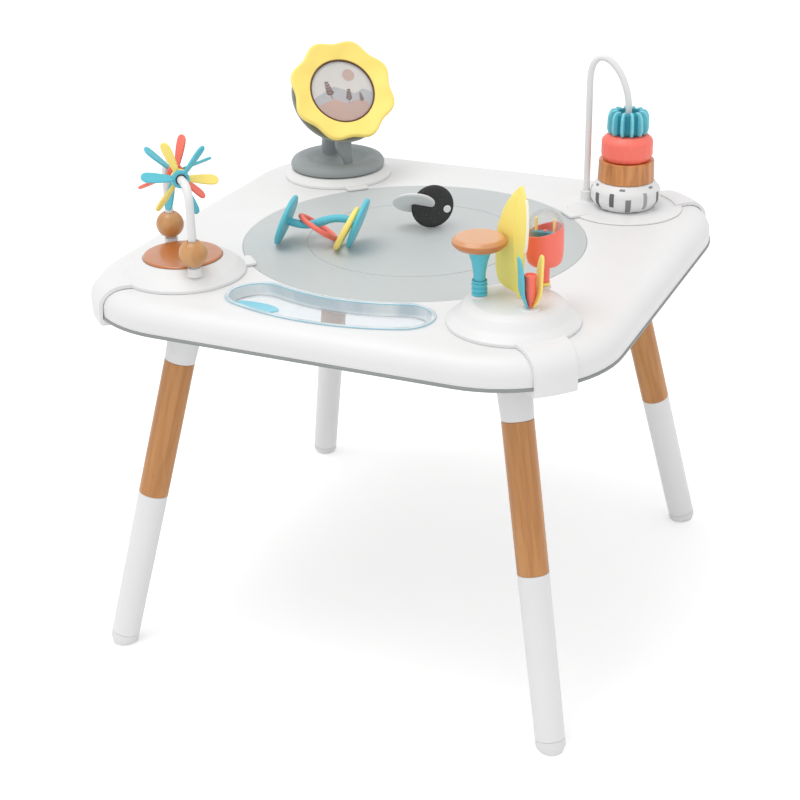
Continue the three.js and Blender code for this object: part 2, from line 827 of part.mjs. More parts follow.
// Flower pod
const flowerPod = podFrame('flower_pod', 'back_left');
{
  piece(flowerPod, 'flower_base', lowDome(flowerBase), 'white');
  const seat = flowerBase.plateau + gap;
  const foot = turned([
    [0, seat],
    [stand.footRadius, seat],
    [stand.footRadius, seat + stand.footEdge / 2],
    [stand.footRadius - stand.footEdge / 2, seat + stand.footEdge],
    [stand.coneRadius, seat + stand.coneTop],
    [0, seat + stand.coneTop],
  ], medium);
  const head = new THREE.Group();
  head.name = 'flower_head';
  head.position.set(-flower.forward, 0, flower.rise);
  head.rotation.set(0, -Math.PI / 2 + flower.tilt, 0);
  head.rotateZ(flower.turn);
  flowerPod.add(head);
  const behind = (distance) => new THREE.Vector3(
    -flower.forward + distance * Math.cos(flower.tilt),
    0,
    flower.rise - distance * Math.sin(flower.tilt),
  );
  const dishBack = dish.offset + dish.depth + gap;
  const postPath = new THREE.QuadraticBezierCurve3(
    new THREE.Vector3(stand.postOut, 0, seat + stand.footEdge / 2),
    behind(dishBack + stand.postKnee),
    behind(dishBack + stand.postRadius / 2),
  );
  const post = along([...postPath.getPoints(stand.postSteps), behind(dishBack)], stand.postRadius);
  const finger = new THREE.Shape();
  finger.moveTo(-clicker.halfWide, 0);
  finger.lineTo(clicker.halfWide, 0);
  finger.lineTo(clicker.halfWide, clicker.height - clicker.halfWide);
  finger.absarc(0, clicker.height - clicker.halfWide, clicker.halfWide, 0, Math.PI, false);
  finger.closePath();
  const tongue = softPlate(finger, clicker.thick, propeller.round, sides)
    .rotateX(Math.PI / 2)
    .rotateZ(Math.PI / 2)
    .rotateY(clicker.lean)
    .translate(-clicker.forward, 0, seat + stand.footEdge / 2);
  piece(flowerPod, 'flower_stand', join(foot, post, tongue), 'darkGrey');

  const outline = new THREE.Shape();
  const count = flower.lobes * flower.lobeSteps;
  for (let step = 0; step < count; step += 1) {
    const angle = step * Math.PI * 2 / count;
    const radius = flower.lobeRadius + flower.lobeDepth * Math.cos(flower.lobes * angle);
    if (step === 0) outline.moveTo(radius, 0);
    else outline.lineTo(radius * Math.cos(angle), radius * Math.sin(angle));
  }
  outline.closePath();
  const plate = softPlate(outline, flower.thick, flower.round, 1);
  const recess = rod(flower.recessRadius, flower.thick - flower.recessDeep, flower.thick + wall, medium);
  const hub = rod(flower.hubRadius, -flower.hubLength, flower.round, coarse);
  const bore = rod(flower.axleRadius + runningGap, -2 * flower.hubLength, flower.axleDeep, coarse);
  piece(head, 'flower_petals', cut(join(cut(plate, recess), hub), bore), 'yellow');
  const floorHeight = flower.thick - flower.recessDeep + gap;
  const pictureTop = floorHeight + picture.thick;
  piece(head, 'flower_picture', rod(picture.radius, floorHeight, pictureTop, medium), 'cream');
  const paneLow = pictureTop + gap;
  piece(head, 'flower_window', turned([
    [0, paneLow],
    [windowPane.radius, paneLow],
    [windowPane.radius, paneLow + windowPane.edge],
    [windowPane.browRadius, paneLow + windowPane.brow],
    [0, paneLow + windowPane.crown],
  ], medium), 'clear');
  const rimHeight = -dish.offset;
  const backHeight = rimHeight - dish.depth;
  const axle = rod(flower.axleRadius, backHeight + dish.thick / 2, flower.axleDeep - gap, coarse);
  piece(head, 'flower_dish', join(turned([
    [0, backHeight],
    [dish.backRadius, backHeight],
    [dish.radius, rimHeight],
    [dish.radius, rimHeight + dish.thick],
    [dish.radius - dish.thick, rimHeight + dish.thick],
    [dish.backRadius, backHeight + dish.thick],
    [0, backHeight + dish.thick],
  ], medium), axle), 'darkGrey');
}

// Stacker pod
const stackerPod = podFrame('stacker_pod', 'back_right');
{
  const plateau = stackerDome.plateau;
  const footAngle = THREE.MathUtils.degToRad(180) - Math.PI / 4;
  const at = (out, height) => new THREE.Vector3(out, 0, height).applyAxisAngle(upright, footAngle);
  const foot = at(wire.footOut, 0);
  const post = rod(socket.radius, plateau - wire.sink, plateau + socket.height, coarse);
  let base = join(lowDome(stackerDome), post.translate(foot.x, foot.y, 0));
  for (const spot of [at(0, 0), foot]) {
    const bore = rod(wire.radius + gap, plateau - wire.sink, plateau + 2 * socket.height, coarse);
    base = cut(base, bore.translate(spot.x, spot.y, 0));
  }
  piece(stackerPod, 'stacker_base', base, 'white');

  const low = plateau - wire.sink + gap;
  const bow = new THREE.CubicBezierCurve3(
    at(0, wire.straight),
    at(wireBow.outNear, wireBow.upNear),
    at(wireBow.outFar, wireBow.upFar),
    at(wire.footOut, wire.footStraight),
  );
  const wirePoints = [at(0, low), ...bow.getPoints(wire.steps), at(wire.footOut, low)];
  piece(stackerPod, 'stacker_wire', along(wirePoints, wire.radius), 'white');

  const barrel = (size, bottom) => [
    [ringBore, bottom],
    [size.endRadius, bottom],
    [size.radius, bottom + size.height * size.bellyShare],
    [size.radius, bottom + size.height * (1 - size.bellyShare)],
    [size.endRadius, bottom + size.height],
    [ringBore, bottom + size.height],
    [ringBore, bottom],
  ];
  let level = plateau + gap;
  piece(stackerPod, 'ring_dashed', turned(barrel(ringSizes.dashed, level), medium), 'white');
  level += ringSizes.dashed.height + gap;
  const wood = ringSizes.wood;
  piece(stackerPod, 'ring_wood', turned([
    [ringBore, level],
    [wood.radius - wood.chamfer, level],
    [wood.radius, level + wood.chamfer],
    [wood.endRadius, level + wood.height - wood.chamfer],
    [wood.endRadius - wood.chamfer, level + wood.height],
    [ringBore, level + wood.height],
    [ringBore, level],
  ], medium), 'wood');
  level += wood.height + gap;
  piece(stackerPod, 'ring_coral', turned(barrel(ringSizes.coral, level), medium), 'coral');
  level += ringSizes.coral.height + gap;
  const teal = ringSizes.teal;
  const finStep = Math.PI * 2 / teal.fins;
  const star = new THREE.Shape();
  for (let fin = 0; fin < teal.fins; fin += 1) {
    const corners = [
      [teal.radius, -teal.finShare],
      [teal.radius, teal.finShare],
      [teal.valley, teal.valleyShare],
      [teal.valley, 1 - teal.valleyShare],
    ];
    corners.forEach(([radius, share], index) => {
      const angle = (fin + share) * finStep;
      if (fin === 0 && index === 0) star.moveTo(radius * Math.cos(angle), radius * Math.sin(angle));
      else star.lineTo(radius * Math.cos(angle), radius * Math.sin(angle));
    });
  }
  star.closePath();
  const finned = softPlate(star, teal.height, teal.round, 1).translate(0, 0, level);
  const tealBore = rod(ringBore, level - wall, level + teal.height + wall, coarse);
  piece(stackerPod, 'ring_teal', cut(finned, tealBore), 'teal');
}

// Discovery pod: its toys are placed in the table's own x and y, measured from the pod's middle
const discoveryPod = podFrame('discovery_pod', 'front_right');
{
  const plateau = bell.plateau;
  const bellTop = plateau + bell.crown;
  const padTop = bellTop + gap;
  const base = podBase([
    [pod.radius, gap],
    [pod.radius, gap + pod.edge],
    [bell.skirt, bell.skirtHeight],
    [bell.brow, bell.browHeight],
    [bell.plateauRadius, plateau],
    [0, bellTop],
  ]);
  const onBase = (toy, radius, low, high) => {
    const spot = new THREE.Vector3(toy.atX, toy.atY, 0).applyAxisAngle(upright, -discoveryPod.rotation.z);
    return rod(radius, low, high, coarse).translate(spot.x, spot.y, 0);
  };
  piece(discoveryPod, 'discovery_base', join(
    base,
    onBase(mushroom, mushroom.collarRadius, plateau - bell.crown, padTop),
    onBase(leafFlap, leafFlap.bossRadius, plateau - bell.crown, padTop),
    onBase(tulip, tulip.hubRadius, plateau - bell.crown, padTop),
    onBase(rattle, rattle.footRadius, plateau - bell.crown, padTop),
    onBase(leafFlap, leafFlap.pinRadius, plateau, padTop + leafFlap.pinHeight),
    onBase(tulip, tulip.pinRadius, plateau, padTop + tulip.hubHeight),
    onBase(rattle, rattle.pinRadius, plateau, rattle.footTop + rattle.pinDeep),
  ), 'white');
  const toys = place(discoveryPod, 'discovery_toys', 0, 0, 0, -discoveryPod.rotation.z);
  const seat = padTop + gap;

  // Mushroom: ribbed collar, stem on a ball in the collar's cup, and a flat round cap
  const shroom = place(toys, 'mushroom', mushroom.atX, mushroom.atY, 0, 0);
  const pivot = seat + mushroom.collarHeight;
  const ribEdges = 2 * mushroom.ribs + 1;
  const collarSide = [];
  for (let edge = 0; edge <= ribEdges; edge += 1) {
    const deep = edge % 2 === 1 ? mushroom.ribDeep : 0;
    collarSide.push([mushroom.collarRadius - deep, seat + edge * mushroom.collarHeight / ribEdges]);
  }
  const ballOf = (radius) => new THREE.SphereGeometry(radius, coarse, mushroom.ballSteps)
    .rotateX(Math.PI / 2)
    .translate(0, 0, pivot);
  const collar = turned([[0, seat], ...collarSide, [0, pivot]], coarse);
  piece(shroom, 'mushroom_collar', cut(collar, ballOf(mushroom.ballRadius + 2 * gap)), 'teal');
  const stemLength = mushroom.stemTop - pivot;
  const spread = mushroom.flareRadius - mushroom.stemRadius;
  const stem = turned([
    [0, pivot],
    [mushroom.ballRadius - gap, pivot],
    ...stemShares.map(([up, out]) => [mushroom.stemRadius + spread * out, pivot + stemLength * up]),
    [mushroom.flareRadius, mushroom.stemTop],
    [0, mushroom.stemTop],
  ], coarse);
  piece(shroom, 'mushroom_stem', join(stem, ballOf(mushroom.ballRadius)), 'teal');
  const capLow = mushroom.stemTop + gap;
  const capAt = (inset, share) => [mushroom.capRadius - inset, capLow + mushroom.capThick * share];
  piece(shroom, 'mushroom_cap', turned([
    [0, capLow],
    capAt(mushroom.capEdge, 0),
    capAt(mushroom.capLip, capShares[0]),
    capAt(0, capShares[1]),
    capAt(mushroom.capLip, capShares[2]),
    capAt(mushroom.capEdge, 1),
    [0, capLow + mushroom.capThick],
  ], medium), 'copper');

  // Leaf flap: an upright leaf that swings on a pin under its front end
  const leafSpot = place(toys, 'leaf', leafFlap.atX, leafFlap.atY, 0, leafFlap.direction);
  const leafPoints = leafOutlineShares.map(([out, up]) => new THREE.Vector2(
    leafFlap.long * out - leafFlap.pinAlong,
    seat + leafFlap.foot + leafFlap.height * up,
  ));
  const leafCurve = new THREE.SplineCurve([...leafPoints, leafPoints[0]]);
  const leafShape = new THREE.Shape(leafCurve.getSpacedPoints(leafFlap.outlineSteps).slice(0, -1));
  const leafPlate = softPlate(leafShape, leafFlap.thick, leafFlap.round, 1)
    .rotateX(Math.PI / 2)
    .translate(0, leafFlap.thick / 2, 0);
  const leafBoss = rod(leafFlap.bossRadius, seat, seat + leafFlap.bossHeight, coarse);
  const pinHole = rod(leafFlap.pinRadius + runningGap, seat - wall, seat + leafFlap.pinHeight, coarse);
  piece(leafSpot, 'leaf_flap', cut(join(leafPlate, leafBoss), pinHole), 'yellow');

  // Tulip: a bud with a petal on each side
  const tulipSpot = place(toys, 'tulip', tulip.atX, tulip.atY, 0, tulip.facing);
  const hubTop = seat + tulip.hubHeight;
  const lipLow = seat + tulip.budHeight - tulip.lip;
  const lipTop = seat + tulip.budHeight;
  const budSide = (spare) => [
    [tulip.budFoot + tulip.petalThick + spare, seat],
    [tulip.budFoot + spare, hubTop],
    [tulip.budRadius + spare, lipLow - spare],
    [tulip.budRadius + tulip.lipOut + spare, lipLow - spare],
    [tulip.budRadius + tulip.lipOut + spare, lipTop + spare],
    [0, lipTop + spare],
  ];
  const bud = turned([[0, seat], ...budSide(0)], coarse);
  const budBore = rod(tulip.pinRadius + runningGap, seat - wall, hubTop - gap, coarse);
  piece(tulipSpot, 'tulip_bud', cut(bud, budBore), 'coral');
  const keepOut = join(
    turned([[0, seat], ...budSide(gap)], coarse),
    rod(tulip.budFoot + tulip.petalThick + gap, seat - wall, seat, coarse),
  );
  const rightSide = petalOutlineShares.map(([out, up]) => new THREE.Vector2(
    tulip.petalHalf * out,
    hubTop + (tulip.petalHeight - tulip.hubHeight) * up,
  ));
  const leftSide = rightSide.slice(0, -1).reverse().map((point) => new THREE.Vector2(-point.x, point.y));
  const petalShape = new THREE.Shape([...rightSide, ...leftSide]);
  for (const [colour, side] of [['teal', 1], ['yellow', -1]]) {
    const petal = softPlate(petalShape, tulip.petalThick, leafFlap.round, 1)
      .translate(0, 0, -tulip.petalThick / 2)
      .rotateX(Math.PI / 2)
      .rotateZ(Math.PI / 2)
      .translate(0, 0, -hubTop)
      .rotateY(side * tulip.petalLean)
      .translate(side * tulip.petalOut, 0, hubTop);
    const footMiddle = side * (tulip.petalOut + tulip.petalFoot) / 2;
    const footBlock = block(
      tulip.petalOut - tulip.petalFoot,
      2 * tulip.petalFoot,
      tulip.hubHeight,
      footMiddle,
      0,
      seat + tulip.hubHeight - gap,
    );
    piece(tulipSpot, `tulip_petal_${colour}`, cut(join(petal, footBlock), keepOut), colour);
  }

  // Rattle: a foot, a cup and a clear dome that meet on a sloping seam, and a bar that turns inside
  const drum = place(toys, 'rattle', rattle.atX, rattle.atY, 0, 0);
  const boreOf = (low, high) => rod(rattle.pinRadius + runningGap, low, high, coarse);
  const rattleFoot = rod(rattle.footRadius, seat, rattle.footTop, coarse);
  piece(drum, 'rattle_foot', cut(rattleFoot, boreOf(seat - wall, rattle.footTop + wall)), 'yellow');
  const stemLow = rattle.footTop + gap;
  const skin = (inset) => {
    const points = [
      [rattle.cupCorner - inset, rattle.cupBottom + inset],
      [rattle.cupLowRadius - inset, rattle.cupBottom + rattle.cornerRise + inset],
      [rattle.cupRadius - inset, rattle.cupBottom + rattle.lowRise],
    ];
    const radius = rattle.cupRadius - inset;
    for (let step = 0; step < rattle.domeSteps; step += 1) {
      const angle = Math.PI / 2 * step / rattle.domeSteps;
      points.push([radius * Math.cos(angle), rattle.domeCentre + radius * Math.sin(angle)]);
    }
    return [...points, [0, rattle.domeCentre + radius]];
  };
  const capsule = turned([
    [0, stemLow],
    [rattle.stemRadius, stemLow],
    [rattle.stemRadius, rattle.cupBottom],
    ...skin(0),
  ], medium);
  const hollow = turned([[0, rattle.cupBottom + rattle.wallThick], ...skin(rattle.wallThick)], medium);
  const shell = cut(capsule, hollow);
  const reach = 2 * rattle.domeCentre;
  const aboveSeam = (spare) => block(reach, reach, reach, 0, 0, reach / 2 + spare)
    .rotateY(-rattle.seamSlope)
    .rotateZ(rattle.seamFacing)
    .translate(0, 0, rattle.seamHeight);
  const rotorTop = rattle.rotorLow + rattle.rotorHeight;
  const spindleLow = rattle.cupBottom + rattle.wallThick / 2;
  const spindle = rod(rattle.pinRadius, spindleLow, rotorTop + rattle.spindleOver, coarse);
  const footBore = boreOf(stemLow - wall, rattle.footTop + rattle.pinDeep + gap);
  piece(drum, 'rattle_cup', join(cut(shell, aboveSeam(0), footBore), spindle), 'coral');
  piece(drum, 'rattle_dome', common(shell, aboveSeam(gap)), 'clear');
  const rotorMiddle = rattle.rotorLow + rattle.rotorHeight / 2;
  const bar = block(2 * rattle.rotorRadius, 2 * rattle.rotorHalf, rattle.rotorHeight, 0, 0, rotorMiddle);
  const rotorHub = rod(rattle.rotorHub, rattle.rotorLow, rotorTop, coarse);
  const rods = [-1, 1].map((side) => rod(rattle.rodRadius, rotorMiddle, rattle.rodTop, rattle.rodSides)
    .translate(side * rattle.rodOut, 0, 0));
  const rotorBore = boreOf(rattle.rotorLow - wall, rotorTop + wall);
  piece(drum, 'rattle_rotor', cut(join(bar, rotorHub, ...rods), rotorBore), 'teal');
}

// A flat round with softened rims, centred on its own middle
function roundel(radius, thick, rimThick, segments) {
  return turned([
    [0, -thick / 2],
    [radius - thick / 2, -thick / 2],
    [radius, -rimThick / 2],
    [radius, rimThick / 2],
    [radius - thick / 2, thick / 2],
    [0, thick / 2],
  ], segments);
}

// Loose spool: two leaning end discs, the S-bent bar between them and two free rings on the bar
{
  const half = spool.halfLength;
  const lift = spool.discRadius * Math.cos(spool.lean) + spool.discThick / 2 * Math.sin(spool.lean) + gap;
  const frame = place(model, 'spool', spool.atX, spool.atY, deck.top, spool.turn);
  const endDisc = (side) => roundel(spool.discRadius, spool.discThick, spool.rimThick, medium)
    .rotateY(Math.PI / 2 + spool.lean)
    .translate(side * half, 0, lift);
  const near = new THREE.Vector3(-half, 0, lift);
  const far = new THREE.Vector3(half, 0, lift);
  const pull = new THREE.Vector3(spool.barReach, 0, 0).applyAxisAngle(new THREE.Vector3(0, 1, 0), spool.lean);
  const bend = new THREE.CubicBezierCurve3(near, near.clone().add(pull), far.clone().sub(pull), far);
  const bar = along(bend.getPoints(spool.barSteps), spool.barRadius);
  piece(frame, 'spool_body', join(endDisc(-1), endDisc(1), bar), 'teal');
  for (const ring of looseRings) {
    const inner = ring.radius - ring.section;
    const profile = [];
    for (let step = 0; step <= looseRingSides; step += 1) {
      const angle = Math.PI * 2 * (step % looseRingSides) / looseRingSides;
      profile.push([inner + ring.section / 2 * (1 + Math.cos(angle)), ring.section / 2 * Math.sin(angle)]);
    }
    const mesh = piece(frame, ring.name, turned(profile, coarse + sides), ring.colour);
    mesh.position.set(...ring.at);
    mesh.quaternion.setFromUnitVectors(upright, new THREE.Vector3(...ring.axis).normalize());
  }
}

// Loose pair of discs: a black one standing on its edge and a white one pushed into its slot
{
  const frame = place(model, 'disc_pair', pair.atX, pair.atY, deck.top + gap + pair.blackRadius, pair.turn);
  const blackRim = pair.blackThick * pair.rimShare;
  const black = roundel(pair.blackRadius, pair.blackThick, blackRim, medium).rotateX(Math.PI / 2);
  const tipped = (geometry) => geometry
    .rotateX(-pair.tilt)
    .translate(-pair.whiteOut, 0, 0)
    .rotateY(pair.slope);
  const white = tipped(roundel(pair.whiteRadius, pair.whiteThick, pair.whiteThick * pair.rimShare, medium));
  const slotHalf = pair.whiteThick / 2 + gap;
  const slot = tipped(rod(pair.whiteRadius + gap, -slotHalf, slotHalf, medium));
  piece(frame, 'disc_black', cut(black, slot), 'black');
  piece(frame, 'disc_white', white, 'white');
}

export default model;
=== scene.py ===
"""Looks of a square toddler play table with four toy pods, a centre disc, a snack tray and two loose toys.

The front is -Y and the feet stand on z = 0. Shapes are written in millimetres and turned into metres when
a piece is made. An outline that is turned about an axis is a list of (radius, height), with the radius of
that corner's rounding as a third number where it has its own. Every piece rides on the body of its solid.
"""

import json
import math

import bpy
from mathutils import Matrix, Vector
from mathutils.geometry import tessellate_polygon


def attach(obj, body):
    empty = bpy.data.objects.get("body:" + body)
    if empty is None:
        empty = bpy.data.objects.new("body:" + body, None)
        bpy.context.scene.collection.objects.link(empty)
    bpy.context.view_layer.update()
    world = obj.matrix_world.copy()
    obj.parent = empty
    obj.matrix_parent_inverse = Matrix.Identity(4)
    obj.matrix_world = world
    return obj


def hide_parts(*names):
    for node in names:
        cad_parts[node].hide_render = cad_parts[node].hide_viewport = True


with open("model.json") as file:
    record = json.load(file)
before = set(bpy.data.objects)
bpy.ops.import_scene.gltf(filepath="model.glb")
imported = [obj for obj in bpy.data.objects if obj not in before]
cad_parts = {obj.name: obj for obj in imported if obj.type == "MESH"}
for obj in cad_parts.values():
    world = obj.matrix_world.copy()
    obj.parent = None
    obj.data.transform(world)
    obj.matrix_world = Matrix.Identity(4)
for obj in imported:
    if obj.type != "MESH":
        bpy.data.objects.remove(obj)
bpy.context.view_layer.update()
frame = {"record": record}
bodies = frame["record"]["behaviour"]["bodies"]
body_of_node = {node: body for body, members in bodies.items() for node in members}
MM = 0.001
FULL = 2 * math.pi
UP = Vector((0, 0, 1))
CORNERS = {"back_right": 45, "back_left": 135, "front_left": 225, "front_right": 315}

# Sizes that several pieces share, in millimetres, as in the solids
DECK_TOP, DECK_LOW = 460, 431
DECK_HALF, DECK_CORNER = 304, 133
PILLOW_OUT, PILLOW_UP = 24, 20
DECK_WALL = 3
POD_SPOT = 195
POD_RADIUS = 69.5
POD_GAP = 0.3
TRAY_PATH = 241.5
TRAY_START, TRAY_END = -110.5, -69.5
VIEW_TURN = 24.6


# Camera, at the photograph's place
def make_camera():
    """The fitted camera: its place, the way it points and its focal length in the photograph's pixels."""
    film, picture, focal = 36, 800, 1571.685
    data = bpy.data.cameras.new("camera")
    data.sensor_width = film
    data.lens = film * focal / picture
    data.clip_start = 0.05
    data.clip_end = 50
    camera = bpy.data.objects.new("camera", data)
    bpy.context.scene.collection.objects.link(camera)
    right = Vector((0.91299639, 0.40754525, -0.01855976))
    up = Vector((-0.15973151, 0.39895651, 0.90295047))
    back = Vector((0.37539771, -0.82142594, 0.42934367))
    turn = Matrix((right, up, back)).transposed().to_4x4()
    camera.matrix_world = Matrix.Translation((0.7039467, -1.59109064, 1.07802371)) @ turn
    bpy.context.scene.camera = camera


# Finishes
class Finish:
    """A material whose colour, gloss and bump come from the piece's own coordinates."""

    def __init__(self, name):
        self.material = bpy.data.materials.new(name)
        self.material.use_nodes = True
        self.tree = self.material.node_tree
        self.shader = self.tree.nodes["Principled BSDF"]
        self.place = self.tree.nodes.new("ShaderNodeTexCoord").outputs["Object"]

    def add(self, kind, **sockets):
        node = self.tree.nodes.new(kind)
        for socket, value in sockets.items():
            self.feed(node.inputs[socket.replace("_", " ")], value)
        return node

    def feed(self, socket, value):
        if isinstance(value, bpy.types.NodeSocket):
            self.tree.links.new(value, socket)
        else:
            socket.default_value = value

    def set(self, socket, value):
        self.feed(self.shader.inputs[socket], value)

    def noise(self, scale, detail=2.0, stretch=None, distortion=0.0, place=None):
        place = place or self.place
        if stretch:
            place = self.add("ShaderNodeMapping", Vector=place, Scale=stretch).outputs["Vector"]
        node = self.add("ShaderNodeTexNoise", Vector=place, Scale=scale, Detail=detail, Distortion=distortion)
        return node.outputs["Fac"]

    def spread(self, value, low, high, dark=0.0, light=1.0):
        """Maps the range from low to high onto the one from dark to light."""
        node = self.add("ShaderNodeMapRange", Value=value, From_Min=low, From_Max=high, To_Min=dark, To_Max=light)
        return node.outputs["Result"]

    def blend(self, share, first, second):
        node = self.add("ShaderNodeMix")
        node.data_type = "RGBA"
        self.feed(node.inputs[0], share)
        self.feed(node.inputs[6], first)
        self.feed(node.inputs[7], second)
        return node.outputs[2]

    def maths(self, operation, first, second=0.0):
        node = self.add("ShaderNodeMath")
        node.operation = operation
        self.feed(node.inputs[0], first)
        self.feed(node.inputs[1], second)
        return node.outputs[0]

    def bump(self, height, distance, strength=1.0):
        node = self.add("ShaderNodeBump", Height=height, Distance=distance, Strength=strength)
        self.set("Normal", node.outputs["Normal"])

    def gloss(self, low, high, scale, detail=2.0):
        """Roughness that wanders between two values."""
        self.set("Roughness", self.spread(self.noise(scale, detail), 0.3, 0.7, low, high))

    def coat(self, weight, roughness):
        self.set("Coat Weight", weight)
        self.set("Coat Roughness", roughness)


def linear(red, green, blue):
    """A colour as written on a screen, 0 to 255, in the shader's own linear values."""
    def channel(value):
        value /= 255
        return value / 12.92 if value <= 0.04045 else ((value + 0.055) / 1.055) ** 2.4
    return (channel(red), channel(green), channel(blue), 1.0)


def shade(colour, share):
    return tuple(min(1.0, channel * share) for channel in colour[:3]) + (1.0,)


def moulded(name, colour, gloss, spread, coat=0.0):
    """Moulded plastic: slow tone changes, a fine spark texture and faint rubbed spots."""
    finish = Finish(name)
    tone = finish.spread(finish.noise(9, 3), 0.35, 0.65)
    finish.set("Base Color", finish.blend(tone, shade(colour, 1 - spread), shade(colour, 1 + spread)))
    finish.gloss(gloss - 0.05, gloss + 0.07, 55, 6)
    finish.bump(finish.noise(1500, 2), 0.00002)
    finish.coat(coat, 0.15)
    return finish.material


def beech():
    """Beech turned along its length: fine long grain, short dark flecks and a clear lacquer."""
    finish = Finish("beech_wood")
    leg_radius, stretch = 0.0175, 0.007
    where = finish.add("ShaderNodeTexCoord").outputs["UV"]
    split = finish.add("ShaderNodeSeparateXYZ", Vector=where).outputs
    angle = finish.maths("MULTIPLY", split["X"], FULL)
    along = finish.maths("MULTIPLY", split["Y"], stretch)
    round_x = finish.maths("MULTIPLY", finish.maths("COSINE", angle), leg_radius)
    round_y = finish.maths("MULTIPLY", finish.maths("SINE", angle), leg_radius)
    inside = finish.add("ShaderNodeCombineXYZ", X=round_x, Y=round_y, Z=along).outputs["Vector"]
    bands = finish.noise(150, 5, distortion=0.6, place=inside)
    fibre = finish.noise(900, 3, place=inside)
    pale, deep = linear(194, 136, 77), linear(179, 119, 61)
    wood = finish.blend(finish.spread(bands, 0.36, 0.62), pale, deep)
    flecks = finish.spread(fibre, 0.6, 0.72, 0.0, 0.5)
    finish.set("Base Color", finish.blend(flecks, wood, linear(166, 110, 60)))
    finish.set("Roughness", finish.spread(fibre, 0.3, 0.7, 0.42, 0.56))
    finish.bump(fibre, 0.00004, 0.5)
    finish.coat(0.25, 0.2)
    return finish.material


def brown_lacquer(name, pale, deep, scale, stretch):
    """Brown pieces with a soft grain under a glossy coat."""
    finish = Finish(name)
    grain = finish.noise(scale, 4, stretch=(1.0, 1.0, stretch), distortion=0.4)
    finish.set("Base Color", finish.blend(finish.spread(grain, 0.38, 0.64), pale, deep))
    finish.gloss(0.36, 0.46, 80, 4)
    finish.bump(grain, 0.00003, 0.4)
    finish.coat(0.35, 0.12)
    return finish.material


def speckled_black():
    """Black moulding with a coarse grain and pale dust specks."""
    finish = Finish("black_plastic")
    specks = finish.spread(finish.noise(420, 2), 0.62, 0.7)
    ground = finish.blend(finish.noise(20, 3), linear(34, 34, 35), linear(50, 50, 51))
    finish.set("Base Color", finish.blend(specks, ground, linear(84, 84, 84)))
    finish.gloss(0.55, 0.68, 90)
    finish.bump(finish.noise(900, 3), 0.0001, 0.6)
    return finish.material


def clear(name, face, edge, thin, thick):
    """Clear plastic that tints towards its edges, where painted shade also darkens it as the surface turns away from
    view.
    """
    finish = Finish(name)
    facing = finish.add("ShaderNodeLayerWeight", Blend=0.35).outputs["Facing"]
    cloud = finish.spread(finish.noise(30, 3), 0.3, 0.7, -0.03, 0.03)
    # The edge colour is partly the plastic's own tint and partly painted shade for the dark outline of clear plastic.
    finish.set("Base Color", finish.blend(facing, face, edge))
    finish.set("Alpha", finish.maths("ADD", finish.spread(facing, 0.0, 1.0, thin, thick), cloud))
    finish.gloss(0.05, 0.12, 40)
    finish.bump(finish.noise(60), 0.00005, 0.3)
    return finish.material


def tray_clear():
    """Clear tray: a misty floor, walls painted paler with upright streaks of painted reflection, a grey line of painted
    shade round the floor's crease and a blue one along the rim.
    """
    finish = Finish("tray_clear")
    normal = finish.add("ShaderNodeNewGeometry").outputs["Normal"]
    upright = finish.add("ShaderNodeSeparateXYZ", Vector=normal).outputs["Z"]
    flat = finish.maths("ABSOLUTE", upright)
    level = finish.add("ShaderNodeSeparateXYZ", Vector=finish.place).outputs["Z"]
    wall = finish.spread(flat, 0.5, 0.95, 1.0, 0.0)
    edged = finish.spread(flat, 0.82, 0.99, 1.0, 0.0)
    rim = finish.maths("MULTIPLY", finish.spread(level, 0.4602, 0.4608), edged)
    lip = finish.spread(level, 0.4606, 0.4612)
    # Painted shade: a grey line along the crease where the floor turns up into the wall.
    above, below = finish.spread(level, 0.4473, 0.4479), finish.spread(level, 0.4482, 0.4494, 1.0, 0.0)
    crease = finish.maths("MULTIPLY", above, below)
    # The stretched noise paints upright streaks of reflection into the walls' paler colour, and gives a real ripple to
    # the bump.
    waves = finish.noise(26, 3, stretch=(1.0, 1.0, 0.2))
    painted_wall_sheen = finish.blend(finish.spread(waves, 0.4, 0.62), linear(214, 228, 234), linear(248, 252, 253))
    sides = finish.blend(finish.maths("MAXIMUM", wall, lip), linear(196, 206, 213), painted_wall_sheen)
    crease_shaded = finish.blend(crease, sides, linear(150, 158, 163))
    finish.set("Base Color", finish.blend(rim, crease_shaded, linear(160, 216, 234)))
    body = finish.maths("MAXIMUM", finish.spread(wall, 0.0, 1.0, 0.34, 0.7), finish.maths("MULTIPLY", lip, 0.6))
    marks = finish.maths("MAXIMUM", finish.maths("MULTIPLY", rim, 0.8), finish.maths("MULTIPLY", crease, 0.66))
    finish.set("Alpha", finish.maths("MAXIMUM", body, marks))
    finish.gloss(0.06, 0.14, 40)
    finish.bump(waves, 0.0004, 0.4)
    return finish.material


def brown_cap_painted_light():
    """Brown cap with painted light and shade: paler where it faces up, deeper as it turns down towards its glossy rim.
    """
    finish = Finish("cap_brown")
    normal = finish.add("ShaderNodeNewGeometry").outputs["Normal"]
    upright = finish.add("ShaderNodeSeparateXYZ", Vector=normal).outputs["Z"]
    tone = finish.spread(finish.noise(30, 3), 0.35, 0.65, -0.06, 0.06)
    # Painted light and shade: the colour follows how far the surface faces up.
    share = finish.maths("ADD", finish.spread(upright, 0.35, 0.95), tone)
    finish.set("Base Color", finish.blend(share, linear(184, 110, 46), linear(216, 156, 108)))
    finish.gloss(0.34, 0.42, 60, 4)
    finish.bump(finish.noise(1500, 2), 0.00002)
    finish.coat(0.6, 0.12)
    return finish.material


